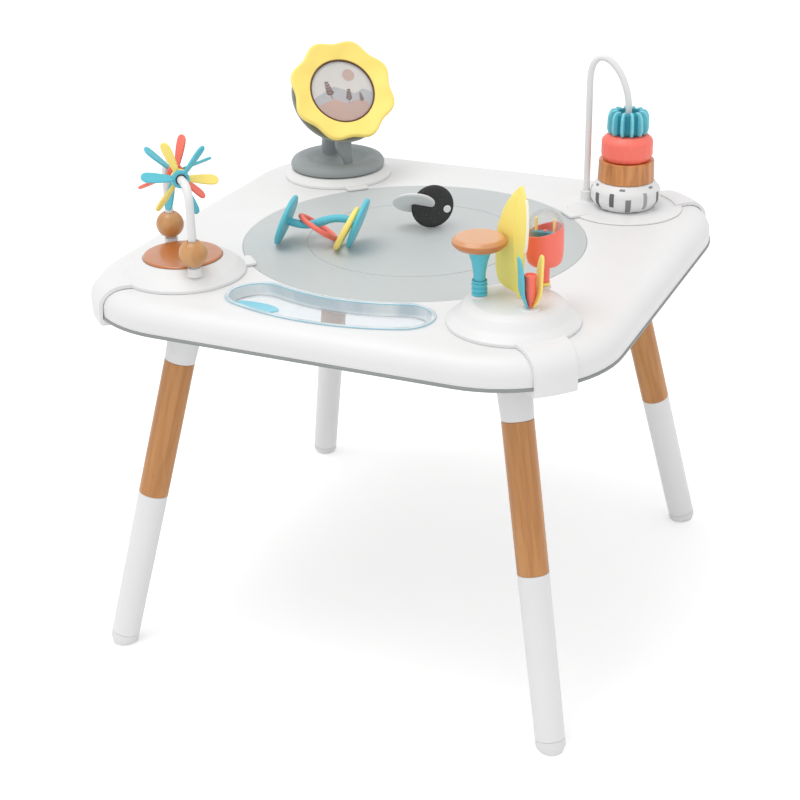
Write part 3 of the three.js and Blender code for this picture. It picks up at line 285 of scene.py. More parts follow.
# Plain mouldings: colour as on a screen, gloss, spread of tone and, where it has one, clear coat
MOULDINGS = {
    "white_plastic": ((228, 228, 228), 0.42, 0.012),
    "grey_plastic": ((190, 195, 195), 0.5, 0.02),
    "foot_grey": ((224, 224, 224), 0.6, 0.02),
    "dark_grey_plastic": ((150, 156, 157), 0.5, 0.03),
    "band_grey": ((140, 143, 143), 0.5, 0.03),
    "copper_brown_plastic": ((194, 116, 56), 0.32, 0.05, 0.7),
    "teal_plastic": ((88, 190, 208), 0.4, 0.04),
    # On the stacker's teal ring this darker teal is painted shade in the grooves between the fins.
    "deep_teal": ((20, 138, 158), 0.5, 0.06),
    # A paler copy of the teal for the ring's fins: painted light, as if lit through the plastic.
    "teal_fin_painted_light": ((122, 208, 222), 0.4, 0.03),
    "coral_plastic": ((255, 120, 104), 0.42, 0.04),
    "yellow_plastic": ((255, 227, 120), 0.45, 0.025),
    # A brighter copy of the yellow for the leaf: painted light where the leaf is more brightly lit.
    "leaf_yellow_painted_light": ((255, 237, 126), 0.45, 0.04),
    # A pale strip along the leaf's edge: a painted highlight on the edge's thickness.
    "painted_edge_highlight": ((250, 244, 224), 0.4, 0.02),
    "picture_card": ((232, 222, 214), 0.6, 0.04),
    "print_rose": ((212, 168, 150), 0.6, 0.05),
    "print_brown": ((132, 96, 84), 0.6, 0.06),
    "print_grey": ((196, 190, 192), 0.6, 0.04),
    "bezel_brown": ((96, 62, 40), 0.45, 0.08),
    "dash_grey": ((106, 106, 108), 0.6, 0.12),
    "dash_mid": ((136, 136, 138), 0.6, 0.1),
    "dash_pale": ((168, 168, 170), 0.6, 0.08),
}
LOOKS = {name: moulded(name, linear(*colour), *rest) for name, (colour, *rest) in MOULDINGS.items()}
LOOKS.update({
    "beech_wood": beech(),
    "brown_bead": brown_lacquer("brown_bead", linear(202, 150, 94), linear(184, 126, 70), 60, 0.3),
    "brown_ring": brown_lacquer("brown_ring", linear(214, 144, 82), linear(170, 104, 48), 110, 0.1),
    "cap_brown": brown_cap_painted_light(),
    "black_plastic": speckled_black(),
    "clear_plastic": clear("clear_plastic", linear(226, 236, 240), linear(176, 192, 200), 0.07, 0.62),
    "tray_clear": tray_clear(),
    "dome_clear": clear("dome_clear", linear(240, 244, 246), linear(128, 138, 144), 0.0, 0.55),
    "blue_clear_plastic": clear("blue_clear_plastic", linear(150, 224, 240), linear(120, 208, 230), 0.6, 0.85),
})


# Shapes: lists of points and faces in millimetres
class Shape:
    """Points, faces and texture places collected for one piece."""

    def __init__(self):
        self.points = []
        self.faces = []
        self.places = []

    def add(self, points, faces, places=None, matrix=None):
        start = len(self.points)
        matrix = matrix or Matrix()
        self.points += [matrix @ Vector(point) for point in points]
        self.faces += [tuple(index + start for index in face) for face in faces]
        self.places += places or [None] * len(faces)
        return self

    def mesh(self, name):
        mesh = bpy.data.meshes.new(name)
        mesh.from_pydata([point * MM for point in self.points], [], self.faces)
        if any(self.places):
            layer = mesh.uv_layers.new(name="around")
            for polygon, places in zip(mesh.polygons, self.places):
                for corner, place in zip(polygon.loop_indices, places or [(0, 0)] * len(polygon.vertices)):
                    layer.data[corner].uv = place
        mesh.validate()
        return mesh


def soften(corners, radius, steps=5, closed=False):
    """Rounds the corners of an outline. A third number at a corner is that corner's own radius."""
    nearly_straight, most_of_side = math.radians(176), 0.48
    result = []
    count = len(corners)
    for index, corner in enumerate(corners):
        here = Vector(corner[:2])
        own = corner[2] if len(corner) > 2 else radius
        if own <= 0 or (not closed and index in (0, count - 1)):
            result.append(tuple(here))
            continue
        before = Vector(corners[index - 1][:2]) - here
        after = Vector(corners[(index + 1) % count][:2]) - here
        opening = before.angle(after)
        if opening > nearly_straight:
            result.append(tuple(here))
            continue
        run = min(own / math.tan(opening / 2), most_of_side * before.length, most_of_side * after.length)
        start = here + before.normalized() * run
        end = here + after.normalized() * run
        for step in range(steps + 1):
            share = step / steps
            result.append(tuple(start * (1 - share) ** 2 + here * 2 * share * (1 - share) + end * share ** 2))
    return result


def lathe(profile, segments=72, ripple=None):
    """Turns (radius, height) points about Z. The profile starts and ends on the axis or closes on itself."""
    points, faces, places, rows = [], [], [], []
    pattern_height = 100
    closed = profile[0] == profile[-1]
    corners = profile[:-1] if closed else profile
    for radius, height in corners:
        if radius < 1e-6:
            rows.append([len(points)] * segments)
            points.append((0, 0, height))
            continue
        rows.append([len(points) + step for step in range(segments)])
        for step in range(segments):
            angle = FULL * step / segments
            reach = radius + (ripple(angle, radius, height) if ripple else 0)
            points.append((reach * math.cos(angle), reach * math.sin(angle), height))
    count = len(rows)
    for row in range(count if closed else count - 1):
        low, high = rows[row], rows[(row + 1) % count]
        up_low, up_high = (corners[step % count][1] / pattern_height for step in (row, row + 1))
        for step in range(segments):
            after = (step + 1) % segments
            face, place = [], []
            for vertex, turn, up in (
                (low[step], step, up_low), (low[after], step + 1, up_low),
                (high[after], step + 1, up_high), (high[step], step, up_high),
            ):
                if vertex not in face:
                    face.append(vertex)
                    place.append((turn / segments, up))
            if len(face) > 2:
                faces.append(tuple(face))
                places.append(place)
    return points, faces, places


def turned(profile, segments=72, ripple=None):
    """A new shape, turned about Z."""
    return Shape().add(*lathe(profile, segments, ripple))


def loft(loops, close_start=False, close_end=False):
    """Joins loops with the same number of points."""
    count = len(loops[0])
    points = [point for loop in loops for point in loop]
    faces = []
    for row in range(len(loops) - 1):
        for step in range(count):
            after = (step + 1) % count
            low, high = row * count, (row + 1) * count
            faces.append((low + step, low + after, high + after, high + step))
    if close_start:
        faces.append(tuple(reversed(range(count))))
    if close_end:
        faces.append(tuple(range((len(loops) - 1) * count, len(loops) * count)))
    return points, faces


def sheet(loops, height, up=True):
    """A flat face at one height inside the first loop, with the others as its holes."""
    flat = [[Vector((x, y, 0)) for x, y in loop] for loop in loops]
    points = [(x, y, height) for loop in loops for x, y in loop]
    faces = []
    for a, b, c in tessellate_polygon(flat):
        p, q, r = (Vector(points[index]) for index in (a, b, c))
        faces.append((a, b, c) if ((q - p).cross(r - p).z > 0) == up else (a, c, b))
    return points, faces


def inset(outline, amount):
    """Moves a closed anticlockwise outline inwards."""
    result = []
    count = len(outline)
    for index, point in enumerate(outline):
        along = Vector(outline[(index + 1) % count]) - Vector(outline[index - 1])
        inward = Vector((-along.y, along.x)).normalized()
        result.append((point[0] + inward.x * amount, point[1] + inward.y * amount))
    return result


def plate(outline, thick, edge, steps=3, low=0.0):
    """A flat piece with rounded edges, standing on z = low."""
    layers = []
    for step in range(steps + 1):
        angle = math.pi / 2 * step / steps
        layers.append((edge * (1 - math.sin(angle)), low + edge * (1 - math.cos(angle))))
    layers += [(amount, 2 * low + thick - height) for amount, height in reversed(layers)]
    loops = [[(x, y, height) for x, y in inset(outline, amount)] for amount, height in layers]
    return loft(loops, True, True)


def tube(path, radius, sides=28, edge=0.0):
    """A round bar along a path, its ends rounded by the edge radius."""
    path = [Vector(point) for point in path]
    tangents = []
    for index in range(len(path)):
        tangents.append((path[min(index + 1, len(path) - 1)] - path[max(index - 1, 0)]).normalized())
    side = tangents[0].orthogonal().normalized()
    loops = []
    rings = []
    for index, centre in enumerate(path):
        side = (side - tangents[index] * side.dot(tangents[index])).normalized()
        rings.append((centre, side.copy(), tangents[index].cross(side), radius))
    if edge:
        for end, direction in ((0, -1), (-1, 1)):
            centre, across, over, _ = rings[end]
            ahead = tangents[end] * direction
            caps = []
            cap_steps = 3
            for step in range(cap_steps + 1):
                angle = math.pi / 2 * step / cap_steps
                back = ahead * (edge * (math.sin(angle) - 1))
                caps.append((centre + back, across, over, radius - edge + edge * math.cos(angle)))
            if end == 0:
                rings = list(reversed(caps)) + rings[1:]
            else:
                rings = rings[:-1] + caps
    for centre, across, over, reach in rings:
        loop = []
        for step in range(sides):
            angle = FULL * step / sides
            loop.append(tuple(centre + (across * math.cos(angle) + over * math.sin(angle)) * reach))
        loops.append(loop)
    return loft(loops, True, True)


def curve(controls, steps):
    """Points along a Bezier curve with three or four control points."""
    controls = [Vector(point) for point in controls]
    result = []
    for step in range(steps + 1):
        level = controls
        share = step / steps
        while len(level) > 1:
            level = [a.lerp(b, share) for a, b in zip(level, level[1:])]
        result.append(level[0])
    return result


def arc(centre, radius, start, end, steps):
    """Points along an arc, with its angles in degrees."""
    result = []
    for step in range(steps + 1):
        angle = math.radians(start + (end - start) * step / steps)
        result.append((centre[0] + radius * math.cos(angle), centre[1] + radius * math.sin(angle)))
    return result


def polar(radius, degrees):
    """The point at that distance and angle, in degrees."""
    return radius * math.cos(math.radians(degrees)), radius * math.sin(math.radians(degrees))


def smooth_loop(corners, steps=8):
    """A closed smooth outline through its corner points."""
    result = []
    count = len(corners)
    for index in range(count):
        a, b, c, d = (Vector(corners[(index + shift) % count]) for shift in (-1, 0, 1, 2))
        for step in range(steps):
            t = step / steps
            bend, twist = 2 * a - 5 * b + 4 * c - d, 3 * b - a - 3 * c + d
            result.append(tuple(0.5 * (2 * b + (c - a) * t + bend * t * t + twist * t ** 3)))
    return result


# Pieces
def place_at(x, y, z, turn=0.0):
    return Matrix.Translation((x, y, z)) @ Matrix.Rotation(math.radians(turn), 4, "Z")


def spin_x(angle):
    return Matrix.Rotation(angle, 4, "X")


def spin_y(angle):
    return Matrix.Rotation(angle, 4, "Y")


def spin_z(angle):
    return Matrix.Rotation(angle, 4, "Z")


def move(x, y, z):
    return Matrix.Translation((x, y, z))


def pod_place(corner):
    """A pod's own axes: its middle on the deck, with X pointing out over the corner."""
    return place_at(*polar(POD_SPOT * math.sqrt(2), CORNERS[corner]), DECK_TOP, CORNERS[corner])


def settle(piece):
    """Turns a piece's modifiers into its mesh."""
    bpy.context.view_layer.update()
    evaluated = piece.evaluated_get(bpy.context.evaluated_depsgraph_get())
    final = bpy.data.meshes.new_from_object(evaluated)
    final.name = piece.name
    piece.modifiers.clear()
    piece.data = final


def paint(piece, look):
    """Gives a piece one finish and no other."""
    piece.data.materials.clear()
    piece.data.materials.append(LOOKS[look])


def link(name, mesh):
    """A new object with this mesh, in the scene."""
    piece = bpy.data.objects.new(name, mesh)
    bpy.context.scene.collection.objects.link(piece)
    return piece


def show(name, shape, nodes, look, moved=None, grain=0.0, rounds=0, crease=35):
    """Makes a piece. Nodes are the solids it stands for, or with a * one solid whose body it rides on.

    Where grain is set, the piece is melted together at that size and then smoothed that many rounds.
    """
    mesh = shape if isinstance(shape, bpy.types.Mesh) else shape.mesh(name)
    if moved is not None:
        mesh.transform(Matrix.Scale(MM, 4) @ moved @ Matrix.Scale(1 / MM, 4))
    piece = link(name, mesh)
    if grain:
        remesh = piece.modifiers.new("melt", "REMESH")
        remesh.mode = "VOXEL"
        remesh.voxel_size = grain * MM
        smooth = piece.modifiers.new("smooth", "SMOOTH")
        smooth.factor = 0.5
        smooth.iterations = rounds
        settle(piece)
    piece.data.shade_smooth()
    piece.data.set_sharp_from_angle(angle=math.radians(crease))
    if not grain:
        piece.modifiers.new("weigh", "WEIGHTED_NORMAL").keep_sharp = True
        settle(piece)
    paint(piece, look)
    names = nodes.split()
    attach(piece, body_of_node[names[0].lstrip("*")])
    if not nodes.startswith("*"):
        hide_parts(*names)
    return piece


# Repeats: copies of one small shape spaced evenly about Z
def make_repeater():
    """A geometry-nodes group that sets copies of its input round the Z axis."""
    group = bpy.data.node_groups.new("around_axis", "GeometryNodeTree")
    for label, kind, way in (
        ("Geometry", "NodeSocketGeometry", "INPUT"), ("Copies", "NodeSocketInt", "INPUT"),
        ("Turn", "NodeSocketFloat", "INPUT"), ("Look", "NodeSocketMaterial", "INPUT"),
        ("Geometry", "NodeSocketGeometry", "OUTPUT"),
    ):
        group.interface.new_socket(label, in_out=way, socket_type=kind)
    nodes, links = group.nodes, group.links
    start, end = nodes.new("NodeGroupInput"), nodes.new("NodeGroupOutput")
    line = nodes.new("GeometryNodeMeshLine")
    line.inputs["Offset"].default_value = (0, 0, 0)
    spots = nodes.new("GeometryNodeMeshToPoints")
    copies = nodes.new("GeometryNodeInstanceOnPoints")
    index = nodes.new("GeometryNodeInputIndex")
    share, angle = nodes.new("ShaderNodeMath"), nodes.new("ShaderNodeMath")
    share.operation = "DIVIDE"
    angle.operation = "MULTIPLY_ADD"
    angle.inputs[1].default_value = FULL
    turn = nodes.new("ShaderNodeCombineXYZ")
    real = nodes.new("GeometryNodeRealizeInstances")
    coat = nodes.new("GeometryNodeSetMaterial")
    for first, output, second, entry in (
        (start, "Copies", line, "Count"), (line, "Mesh", spots, "Mesh"), (spots, "Points", copies, "Points"),
        (start, "Geometry", copies, "Instance"), (index, "Index", share, 0), (start, "Copies", share, 1),
        (share, 0, angle, 0), (start, "Turn", angle, 2), (angle, 0, turn, "Z"),
        (turn, "Vector", copies, "Rotation"), (copies, "Instances", real, "Geometry"),
        (real, "Geometry", coat, "Geometry"), (start, "Look", coat, "Material"),
        (coat, "Geometry", end, "Geometry"),
    ):
        links.new(first.outputs[output], second.inputs[entry])
    return group


REPEATER = make_repeater()


def repeated(name, shape, copies, turn, look):
    """A mesh with that many copies of the shape about Z, the first turned by an angle in degrees."""
    piece = link(name, shape.mesh(name))
    modifier = piece.modifiers.new("repeat", "NODES")
    modifier.node_group = REPEATER
    sockets = {item.name: item.identifier for item in REPEATER.interface.items_tree if item.in_out == "INPUT"}
    modifier[sockets["Copies"]] = copies
    modifier[sockets["Turn"]] = math.radians(turn)
    modifier[sockets["Look"]] = LOOKS[look]
    settle(piece)
    mesh = piece.data
    bpy.data.objects.remove(piece)
    return mesh


# Table
def square_loop(half, radius, steps=16, spare=8):
    """A rounded square, anticlockwise, with the straight sides divided too."""
    inner = half - radius
    loop = []

    def centre(turn):
        return inner * (math.cos(turn) - math.sin(turn)), inner * (math.sin(turn) + math.cos(turn))
    for quarter in range(4):
        after = math.pi / 2 * (quarter + 1)
        part = arc(centre(math.pi / 2 * quarter), radius, 90 * quarter, 90 * quarter + 90, steps)
        loop += part
        last = part[-1]
        ahead = (centre(after)[0] + math.cos(after) * radius, centre(after)[1] + math.sin(after) * radius)
        for step in range(1, spare):
            share = step / spare
            loop.append(tuple(a * (1 - share) + b * share for a, b in zip(last, ahead)))
    return loop


def slot_loop(half):
    """The tray's bent slot, anticlockwise."""
    near, far = polar(TRAY_PATH, TRAY_START), polar(TRAY_PATH, TRAY_END)
    loop = arc((0, 0), TRAY_PATH + half, TRAY_START, TRAY_END, 28)
    loop += arc(far, half, TRAY_END, TRAY_END + 180, 20)[1:]
    loop += arc((0, 0), TRAY_PATH - half, TRAY_END, TRAY_START, 28)[1:]
    loop += arc(near, half, TRAY_START - 180, TRAY_START, 20)[1:-1]
    return loop


def circle_loop(radius, steps=128):
    """A circle, anticlockwise."""
    return arc((0, 0), radius, 0, 360, steps)[:-1]


def at_height(loop, height):
    return [(x, y, height) for x, y in loop]


def deck_loop(out):
    """The deck's outline, that far outside its side face."""
    return square_loop(DECK_HALF + out, DECK_CORNER + out)


def pillow(inwards, steps):
    """The deck's rounded edge, from its side up to its top, that far inside the outer face."""
    loops = []
    for step in range(steps + 1):
        angle = math.pi / 2 * step / steps
        back = inwards + PILLOW_OUT * (1 - math.cos(angle))
        up = DECK_TOP - inwards - PILLOW_UP + PILLOW_UP * math.sin(angle)
        loops.append(at_height(deck_loop(-back), up))
    return loops


def make_deck():
    """The moulded deck with its pillow edge, band and disc, hollow from below, open for disc and tray."""
    disc_hole, collar, ledge = 201.1, 203.3, 191.3
    slot, slot_neck = 33.4, 32.9
    roof = DECK_TOP - DECK_WALL
    deck = Shape()
    outer = [at_height(deck_loop(0), DECK_LOW)] + pillow(0, 12)
    deck.add(*loft(outer))
    deck.add(*sheet([deck_loop(-PILLOW_OUT), circle_loop(disc_hole), slot_loop(slot)], DECK_TOP))
    inner = pillow(DECK_WALL, 6)[::-1] + [at_height(deck_loop(-DECK_WALL), DECK_LOW)]
    deck.add(*loft(inner))
    deck.add(*loft([inner[-1], outer[0]]))
    under = [deck_loop(-PILLOW_OUT - DECK_WALL), circle_loop(collar), slot_loop(34)]
    deck.add(*sheet(under, roof, up=False))
    steps = ((slot, DECK_TOP), (slot_neck, 459.5), (slot_neck, roof))
    deck.add(*loft([at_height(slot_loop(half), up) for half, up in steps]))
    deck.add(*lathe(soften([
        (ledge, 446), (collar, 446), (collar, 458.5), (disc_hole, DECK_TOP, 0), (200.3, 459.4, 0), (200.3, 449),
        (ledge, 449), (ledge, 446)], 0.6, 3), 128))
    show("deck_moulding", deck, "deck_shell", "white_plastic")

    pan = Shape()
    pan_low, pan_top = 426.9, 430.7
    edge = [(-0.1, pan_low), (1.2, 427.7), (1.2, 429.9), (0.2, pan_top)]
    pan.add(*loft([at_height(deck_loop(out), up) for out, up in edge]))
    opening = arc((0, 0), 188, -50, 230, 100) + arc((0, 0), 276, -128, -52, 24)
    pan.add(*sheet([deck_loop(edge[-1][0]), opening], pan_top))
    pan.add(*sheet([deck_loop(edge[0][0]), opening], pan_low, up=False))
    pan.add(*loft([at_height(opening, pan_top), at_height(opening, pan_low)]))
    show("deck_band", pan, "deck_underpan", "band_grey")

    lid = soften([
        (0, 457), (196.8, 457), (196.8, 449.3), (200, 449.3), (200, 460), (126.2, 460, 0), (125.8, 459.2, 0),
        (124.8, 459.2, 0), (124.4, 460, 0), (0, 460)], 0.9, 4)
    show("disc_lid", turned(lid, 160), "centre_disc", "grey_plastic")


def make_tray():
    """The clear bent tray with its rolled rim, and the blue oval on its floor at the left end."""
    tray = Shape()
    low, floor = (31.4, 445), (26.4, 447)
    outside = [low, (32.6, 446.2), (32.6, 460.2), (34.9, 460.3), (35.4, 460.7), (35.5, 461.2), (35.2, 461.7)]
    inside = [(34.6, 461.9), (31.6, 461.9), (30.9, 461.6), (30.6, 461), (30.4, 452), (29.9, 449.6), (28.6, 447.8),
              floor]
    wall = [at_height(slot_loop(half), up) for half, up in outside + inside]
    tray.add(*loft(wall[1:]))
    tray.add(*sheet([slot_loop(floor[0])], floor[1]))
    tray.add(*loft(wall[:2]))
    tray.add(*sheet([slot_loop(low[0])], low[1], up=False))
    show("snack_dish", tray, "snack_tray", "tray_clear")
    long_half, short_half, reach = 29, 11, 246
    oval = Shape()
    oval.add(*plate([(long_half * x, short_half * y) for x, y in circle_loop(1, 64)], 1.4, 0.5, low=447.3))
    show("tray_oval", oval, "tray_lens", "blue_clear_plastic", moved=place_at(*polar(reach, TRAY_START), 0, -4))


def make_legs():
    """Four legs that lean out along the diagonals, each a top, a wooden part, a lower part and a foot."""
    lean, stand_at, thick = 0.19505, 273.6, 17.5
    axis = Vector((-lean, -lean, 1)).normalized()
    rise = 1 / axis.z
    stand = Matrix.Translation((stand_at, stand_at, 0)) @ UP.rotation_difference(axis).to_matrix().to_4x4()
    wood_low, wood_high = 193.3 * rise, 354.8 * rise
    top = soften([
        (0, wood_high + 16.3), (13.7, wood_high + 16.3), (13.7, wood_high + 0.3), (thick, wood_high + 0.3),
        (20, wood_high + 52, 60), (20, 442), (0, 442, 0)], 0.5, 4)
    wood = soften([
        (0, wood_low - 15.7), (13.4, wood_low - 15.7), (13.4, wood_low + 0.3), (17.3, wood_low + 0.3),
        (thick, wood_high), (13.4, wood_high), (13.4, wood_high + 15.7), (0, wood_high + 15.7)], 0.5, 3)
    low = soften([
        (13.7, 13.8), (16.5, 13.8), (17.3, wood_low), (13.7, wood_low), (13.7, 13.8, 0)], 0.5, 3)
    foot = soften([
        (0, -4), (12, -4, 2), (16.5, 6, 5), (16.5, 13.5), (13.4, 13.5), (13.4, 29.5), (0, 29.5)], 0.5, 5)
    level_ends = {"top": (427.4, 1), "foot": (0.0, -1)}
    for index, corner in enumerate(CORNERS):
        place = spin_z(math.pi / 2 * index) @ stand
        along = place.to_3x3() @ UP
        for kind, profile, look, slot in (
            ("top", top, "white_plastic", None), ("wood", wood, "beech_wood", None),
            ("lower", low, "white_plastic", None), ("foot", foot, "foot_grey", "grey_plastic"),
        ):
            leg = Shape().add(*lathe(profile, 72), matrix=place)
            if kind in level_ends:
                limit, side = level_ends[kind]
                for point in leg.points:
                    over = point.z - limit
                    if over * side > 0:
                        point -= along * (over / along.z)
            show(f"leg_{kind}_{corner}_turning", leg, f"leg_{kind}_{corner}", look)


# Pod bases
def add_clip(shape):
    """The strip that runs over the deck's rounded corner and hooks under it."""
    flat = DECK_CORNER - PILLOW_OUT
    centre = (DECK_HALF - DECK_CORNER) * math.sqrt(2) - POD_SPOT * math.sqrt(2)

    def rim(offset):
        line = []
        for step in range(13):
            angle = math.pi / 2 * (1 - step / 12)
            line.append((flat + (PILLOW_OUT + offset) * math.cos(angle),
                         -PILLOW_UP + (PILLOW_UP + offset) * math.sin(angle)))
        return line
    gap, thick = 0.7, 4
    near, far = rim(gap), rim(gap + thick)
    start, hook_top, hook_low, hook_deep = 93, -32.6, -39.6, 11
    inside, outside = near[-1][0], far[-1][0]
    tip = inside - hook_deep
    line = [(start, gap)] + near
    line += [(inside + 0.8, hook_top), (tip, hook_top), (tip, hook_low + 0.8), (tip + 0.8, hook_low),
             (outside - 2.4, hook_low), (outside - 0.8, hook_low + 0.9), (outside, hook_low + 2.6)]
    line += list(reversed(far)) + [(start, gap + thick)]
    loops = []
    wide, narrow, spare = 30, 21, 16
    for share in (-1, -0.985, -0.95, -0.85, -0.5, 0, 0.5, 0.85, 0.95, 0.985, 1):
        loop = []
        for radius, height in line:
            width = wide + (narrow - wide) * (radius - start + spare) / (outside - start + 2 * spare)
            angle = share * math.asin(width / radius)
            loop.append((centre + radius * math.cos(angle), radius * math.sin(angle), height))
        loops.append(loop)
    shape.add(*loft(loops, True, True))


def pod_base(toy, corner, dome, extras=(), steps=8):
    """A pod's round base with its clip over the deck's corner, its tab towards the disc and any extras."""
    base = turned(soften([(0, POD_GAP), (POD_RADIUS, POD_GAP)] + dome, 0.5, steps), 128)
    add_clip(base)
    tab_end, tab_start, half = POD_SPOT - 275.77, -57.5, 14
    tab = [(tab_end, -half, 4), (tab_start, -half, 0), (tab_start, half, 0), (tab_end, half, 4)]
    base.add(*plate(soften(tab, 0, 6, closed=True), 3.6, 1.2, low=POD_GAP))
    for extra in extras:
        base.add(*extra)
    show(toy + "_moulding", base, toy + "_base", "white_plastic", moved=pod_place(corner))


def make_spinner_pod():
    """Front left: a bar bent into an arch carries two beads and two stars of pitched blades."""
    home = pod_place("front_left")
    dome = [(POD_RADIUS, 3.5, 1.6), (60, 12, 16), (46, 19.5, 12), (44.6, 19.8, 0.4), (44.6, 18.6, 0), (0, 18.6)]
    leg_out, bar_up, bend, foot_up = 53, 113, 18, 17
    socket = soften([(0, 10), (9.5, 15, 0), (7.6, 17.5, 4), (7.3, 23.8, 1.4), (5, 23.8, 0.4), (5, 20, 0),
                     (0, 20)], 0.6, 5)
    sockets = [(*lathe(socket, 40), move(0, side * leg_out, 0)) for side in (-1, 1)]
    pod_base("spinner", "front_left", dome, sockets)
    inlay = soften([(0, 19.5), (44, 19.5), (44, 20.8, 0.5), (42.7, 22.1, 1.5), (0, 23.3)], 0.4, 5)
    show("brown_top", turned(inlay, 128), "spinner_inlay", "copper_brown_plastic", moved=home)

    rise, steps = bar_up - bend - foot_up, 8
    path = [(0, -leg_out, foot_up + rise * step / steps) for step in range(steps)]
    bends = [(0, -y, z) for y, z in arc((leg_out - bend, bar_up - bend), bend, 0, 90, 14)]
    path += bends + [(0, 0, bar_up)] + [(x, -y, z) for x, y, z in reversed(bends)]
    path += [(0, leg_out, bar_up - bend - rise * step / steps) for step in range(1, steps + 1)]
    show("bead_arch", Shape().add(*tube(path, 4.6, 36)), "spinner_arch", "white_plastic", moved=home)

    ball_radius, bore, bead_up = 15.6, 5.4, 39.8
    mouth = math.degrees(math.asin(bore / ball_radius))
    ball = arc((0, 0), ball_radius, -90 + mouth, 90 - mouth, 30)
    ball = [(bore, ball[0][1] + 0.8)] + ball[1:-1] + [(bore, ball[-1][1] - 0.8)]
    ball.append(ball[0])
    for name, side in (("bead_front", 1), ("bead_rear", -1)):
        show(name + "_ball", turned(ball, 56), name, "brown_bead",
             moved=home @ move(0, side * leg_out, bead_up))

    half = [(6.9, 0), (8.2, -3.2), (18, -4.9), (29, -6.1), (38, -5.9), (42.2, -3.4), (43.4, 0)]
    thick = 2.8
    blade = plate(smooth_loop(half + [(x, -y) for x, y in reversed(half[1:-1])], 5), thick, 1.1, 4)
    hub = soften([(5.5, -2.1), (9.8, -2.1), (9.8, 2.1), (5.5, 2.1), (5.5, -2.1, 0)], 0.5, 3)
    washer = soften([(4.75, -0.5), (6.1, -0.5), (6.1, 0.5), (4.75, 0.5), (4.75, -0.5, 0)], 0.3, 3)
    show("arch_washer", turned(washer, 40), "*spinner_arch", "black_plastic",
         moved=home @ move(0, 22.95, bar_up) @ spin_x(math.pi / 2))
    for name, look, turn, pitch, at in (
        ("spinner_teal_front", "teal_plastic", 50, 47, 20.25),
        ("spinner_yellow", "yellow_plastic", 110, -47, 15.75),
        ("spinner_coral", "coral_plastic", 75, -62, -2.75),
        ("spinner_teal_rear", "teal_plastic", 15, 66, -7.25),
    ):
        star = turned(hub, 56)
        for count in range(3):
            star.add(*blade, matrix=spin_z(FULL * count / 3) @ spin_x(math.radians(pitch)) @ move(0, 0, -thick / 2))
        place = home @ move(0, at, bar_up) @ spin_x(math.pi / 2) @ spin_z(math.pi - math.radians(turn))
        show(name + "_star", star, name, look, moved=place)


def make_flower_pod():
    """Back left: a wheel of dished petals round a picture, leaning back on a bent post over a dished foot."""
    home = pod_place("back_left")
    pod_base("flower", "back_left", [(POD_RADIUS, 3.5, 1.6), (67, 6.5, 5), (61, 10.7, 4), (0, 10.7)])
    tilt, turn = math.radians(36), math.radians(23)
    forward, up = 24.2, 113.2
    head = home @ move(-forward, 0, up) @ spin_y(-math.pi / 2 + tilt) @ spin_z(-turn)

    def behind(distance):
        return (-forward + distance * math.cos(tilt), 0, up - distance * math.sin(tilt))
    stand = Shape()
    stand.add(*lathe(soften([
        (0, 11), (57, 11, 0.6), (60.6, 13.6, 2), (61.4, 18, 4), (58, 23.4, 6), (50, 26.6, 6), (41, 24.6, 8),
        (32, 20.4, 8), (23, 18.6, 8), (0, 18.1)], 0.6, 8), 96))
    post = curve([(32, 0, 13), behind(57.3), behind(26.3)], 22) + [Vector(behind(21.3))]
    stand.add(*tube(post, 11.6, 40))
    finger = arc((1, 30), 10.6, 0, 180, 16) + [(-9.6, 20)] + arc((-3.4, 5), 6.2, 180, 360, 16) + [(11.4, 24)]
    lean = spin_y(math.radians(8)) @ spin_z(math.pi / 2) @ spin_x(math.pi / 2)
    stand.add(*plate(finger, 9.6, 3.4, 5), matrix=move(-37, 0, 21) @ lean)
    show("flower_foot", stand, "flower_stand", "dark_grey_plastic", moved=home, grain=0.8, rounds=4)
    back = turned(soften([
        (0, -21), (20, -21, 6), (62.4, -12, 1.2), (62.4, -9, 1.2), (59.4, -9, 1), (20, -18, 6), (4.2, -18, 0.5),
        (4.2, 2.3), (0, 2.3)], 0.6, 6), 96)
    show("flower_back", back, "flower_dish", "dark_grey_plastic", moved=head)

    petal_reach, petal_deep, petal_count, around = 65.4, 3, 8, 192

    def ring(reach, height, waves=0):
        loop = []
        for step in range(around):
            angle = FULL * step / around
            radius = reach + waves * math.cos(petal_count * angle)
            loop.append((radius * math.cos(angle), radius * math.sin(angle), height))
        return loop
    rows = [ring(0.5, -6), ring(11.4, -6), ring(12, -5.4), ring(12, -0.4), ring(12.6, 0), ring(44, 0)]
    rows += [ring(petal_reach + out, height, petal_deep) for out, height in (
        (-8, 2.2), (-2, 4.2), (-0.8, 5), (-0.2, 6), (0, 7.2), (0, 9.8), (-0.3, 11), (-1.1, 12), (-2.4, 12.4),
        (-4, 12.3), (-10, 10.7), (-16, 9.2))]
    rows += [ring(45, 8.3), ring(43, 8), ring(42.4, 7.5), ring(42.2, 7), ring(42.2, 3), ring(0.5, 3)]
    petals = Shape().add(*loft(rows, True, True))
    show("flower_lobes", petals, "flower_petals", "yellow_plastic", moved=head)
    bezel = soften([(40.2, 6.4), (42.1, 6.4), (42.1, 8.1), (41.2, 8.1), (40.2, 7.3), (40.2, 6.4, 0)], 0.3, 3)
    surround = turned(bezel, 128)
    show("flower_bezel", surround, "*flower_petals", "bezel_brown", moved=head)
    card = soften([(0, 3.3), (41.4, 3.3), (41.4, 4.8), (0, 4.8)], 0.2, 2)
    show("picture_ground", turned(card, 96), "flower_picture", "picture_card", moved=head)
    make_picture(head @ spin_z(turn) @ spin_z(-math.pi / 2))
    pane = soften([(0, 5.1), (41.4, 5.1), (41.4, 6.3, 0.4), (29, 7.6, 30), (0, 8.5)], 0.2, 8)
    show("picture_window", turned(pane, 96), "flower_window", "clear_plastic", moved=head)


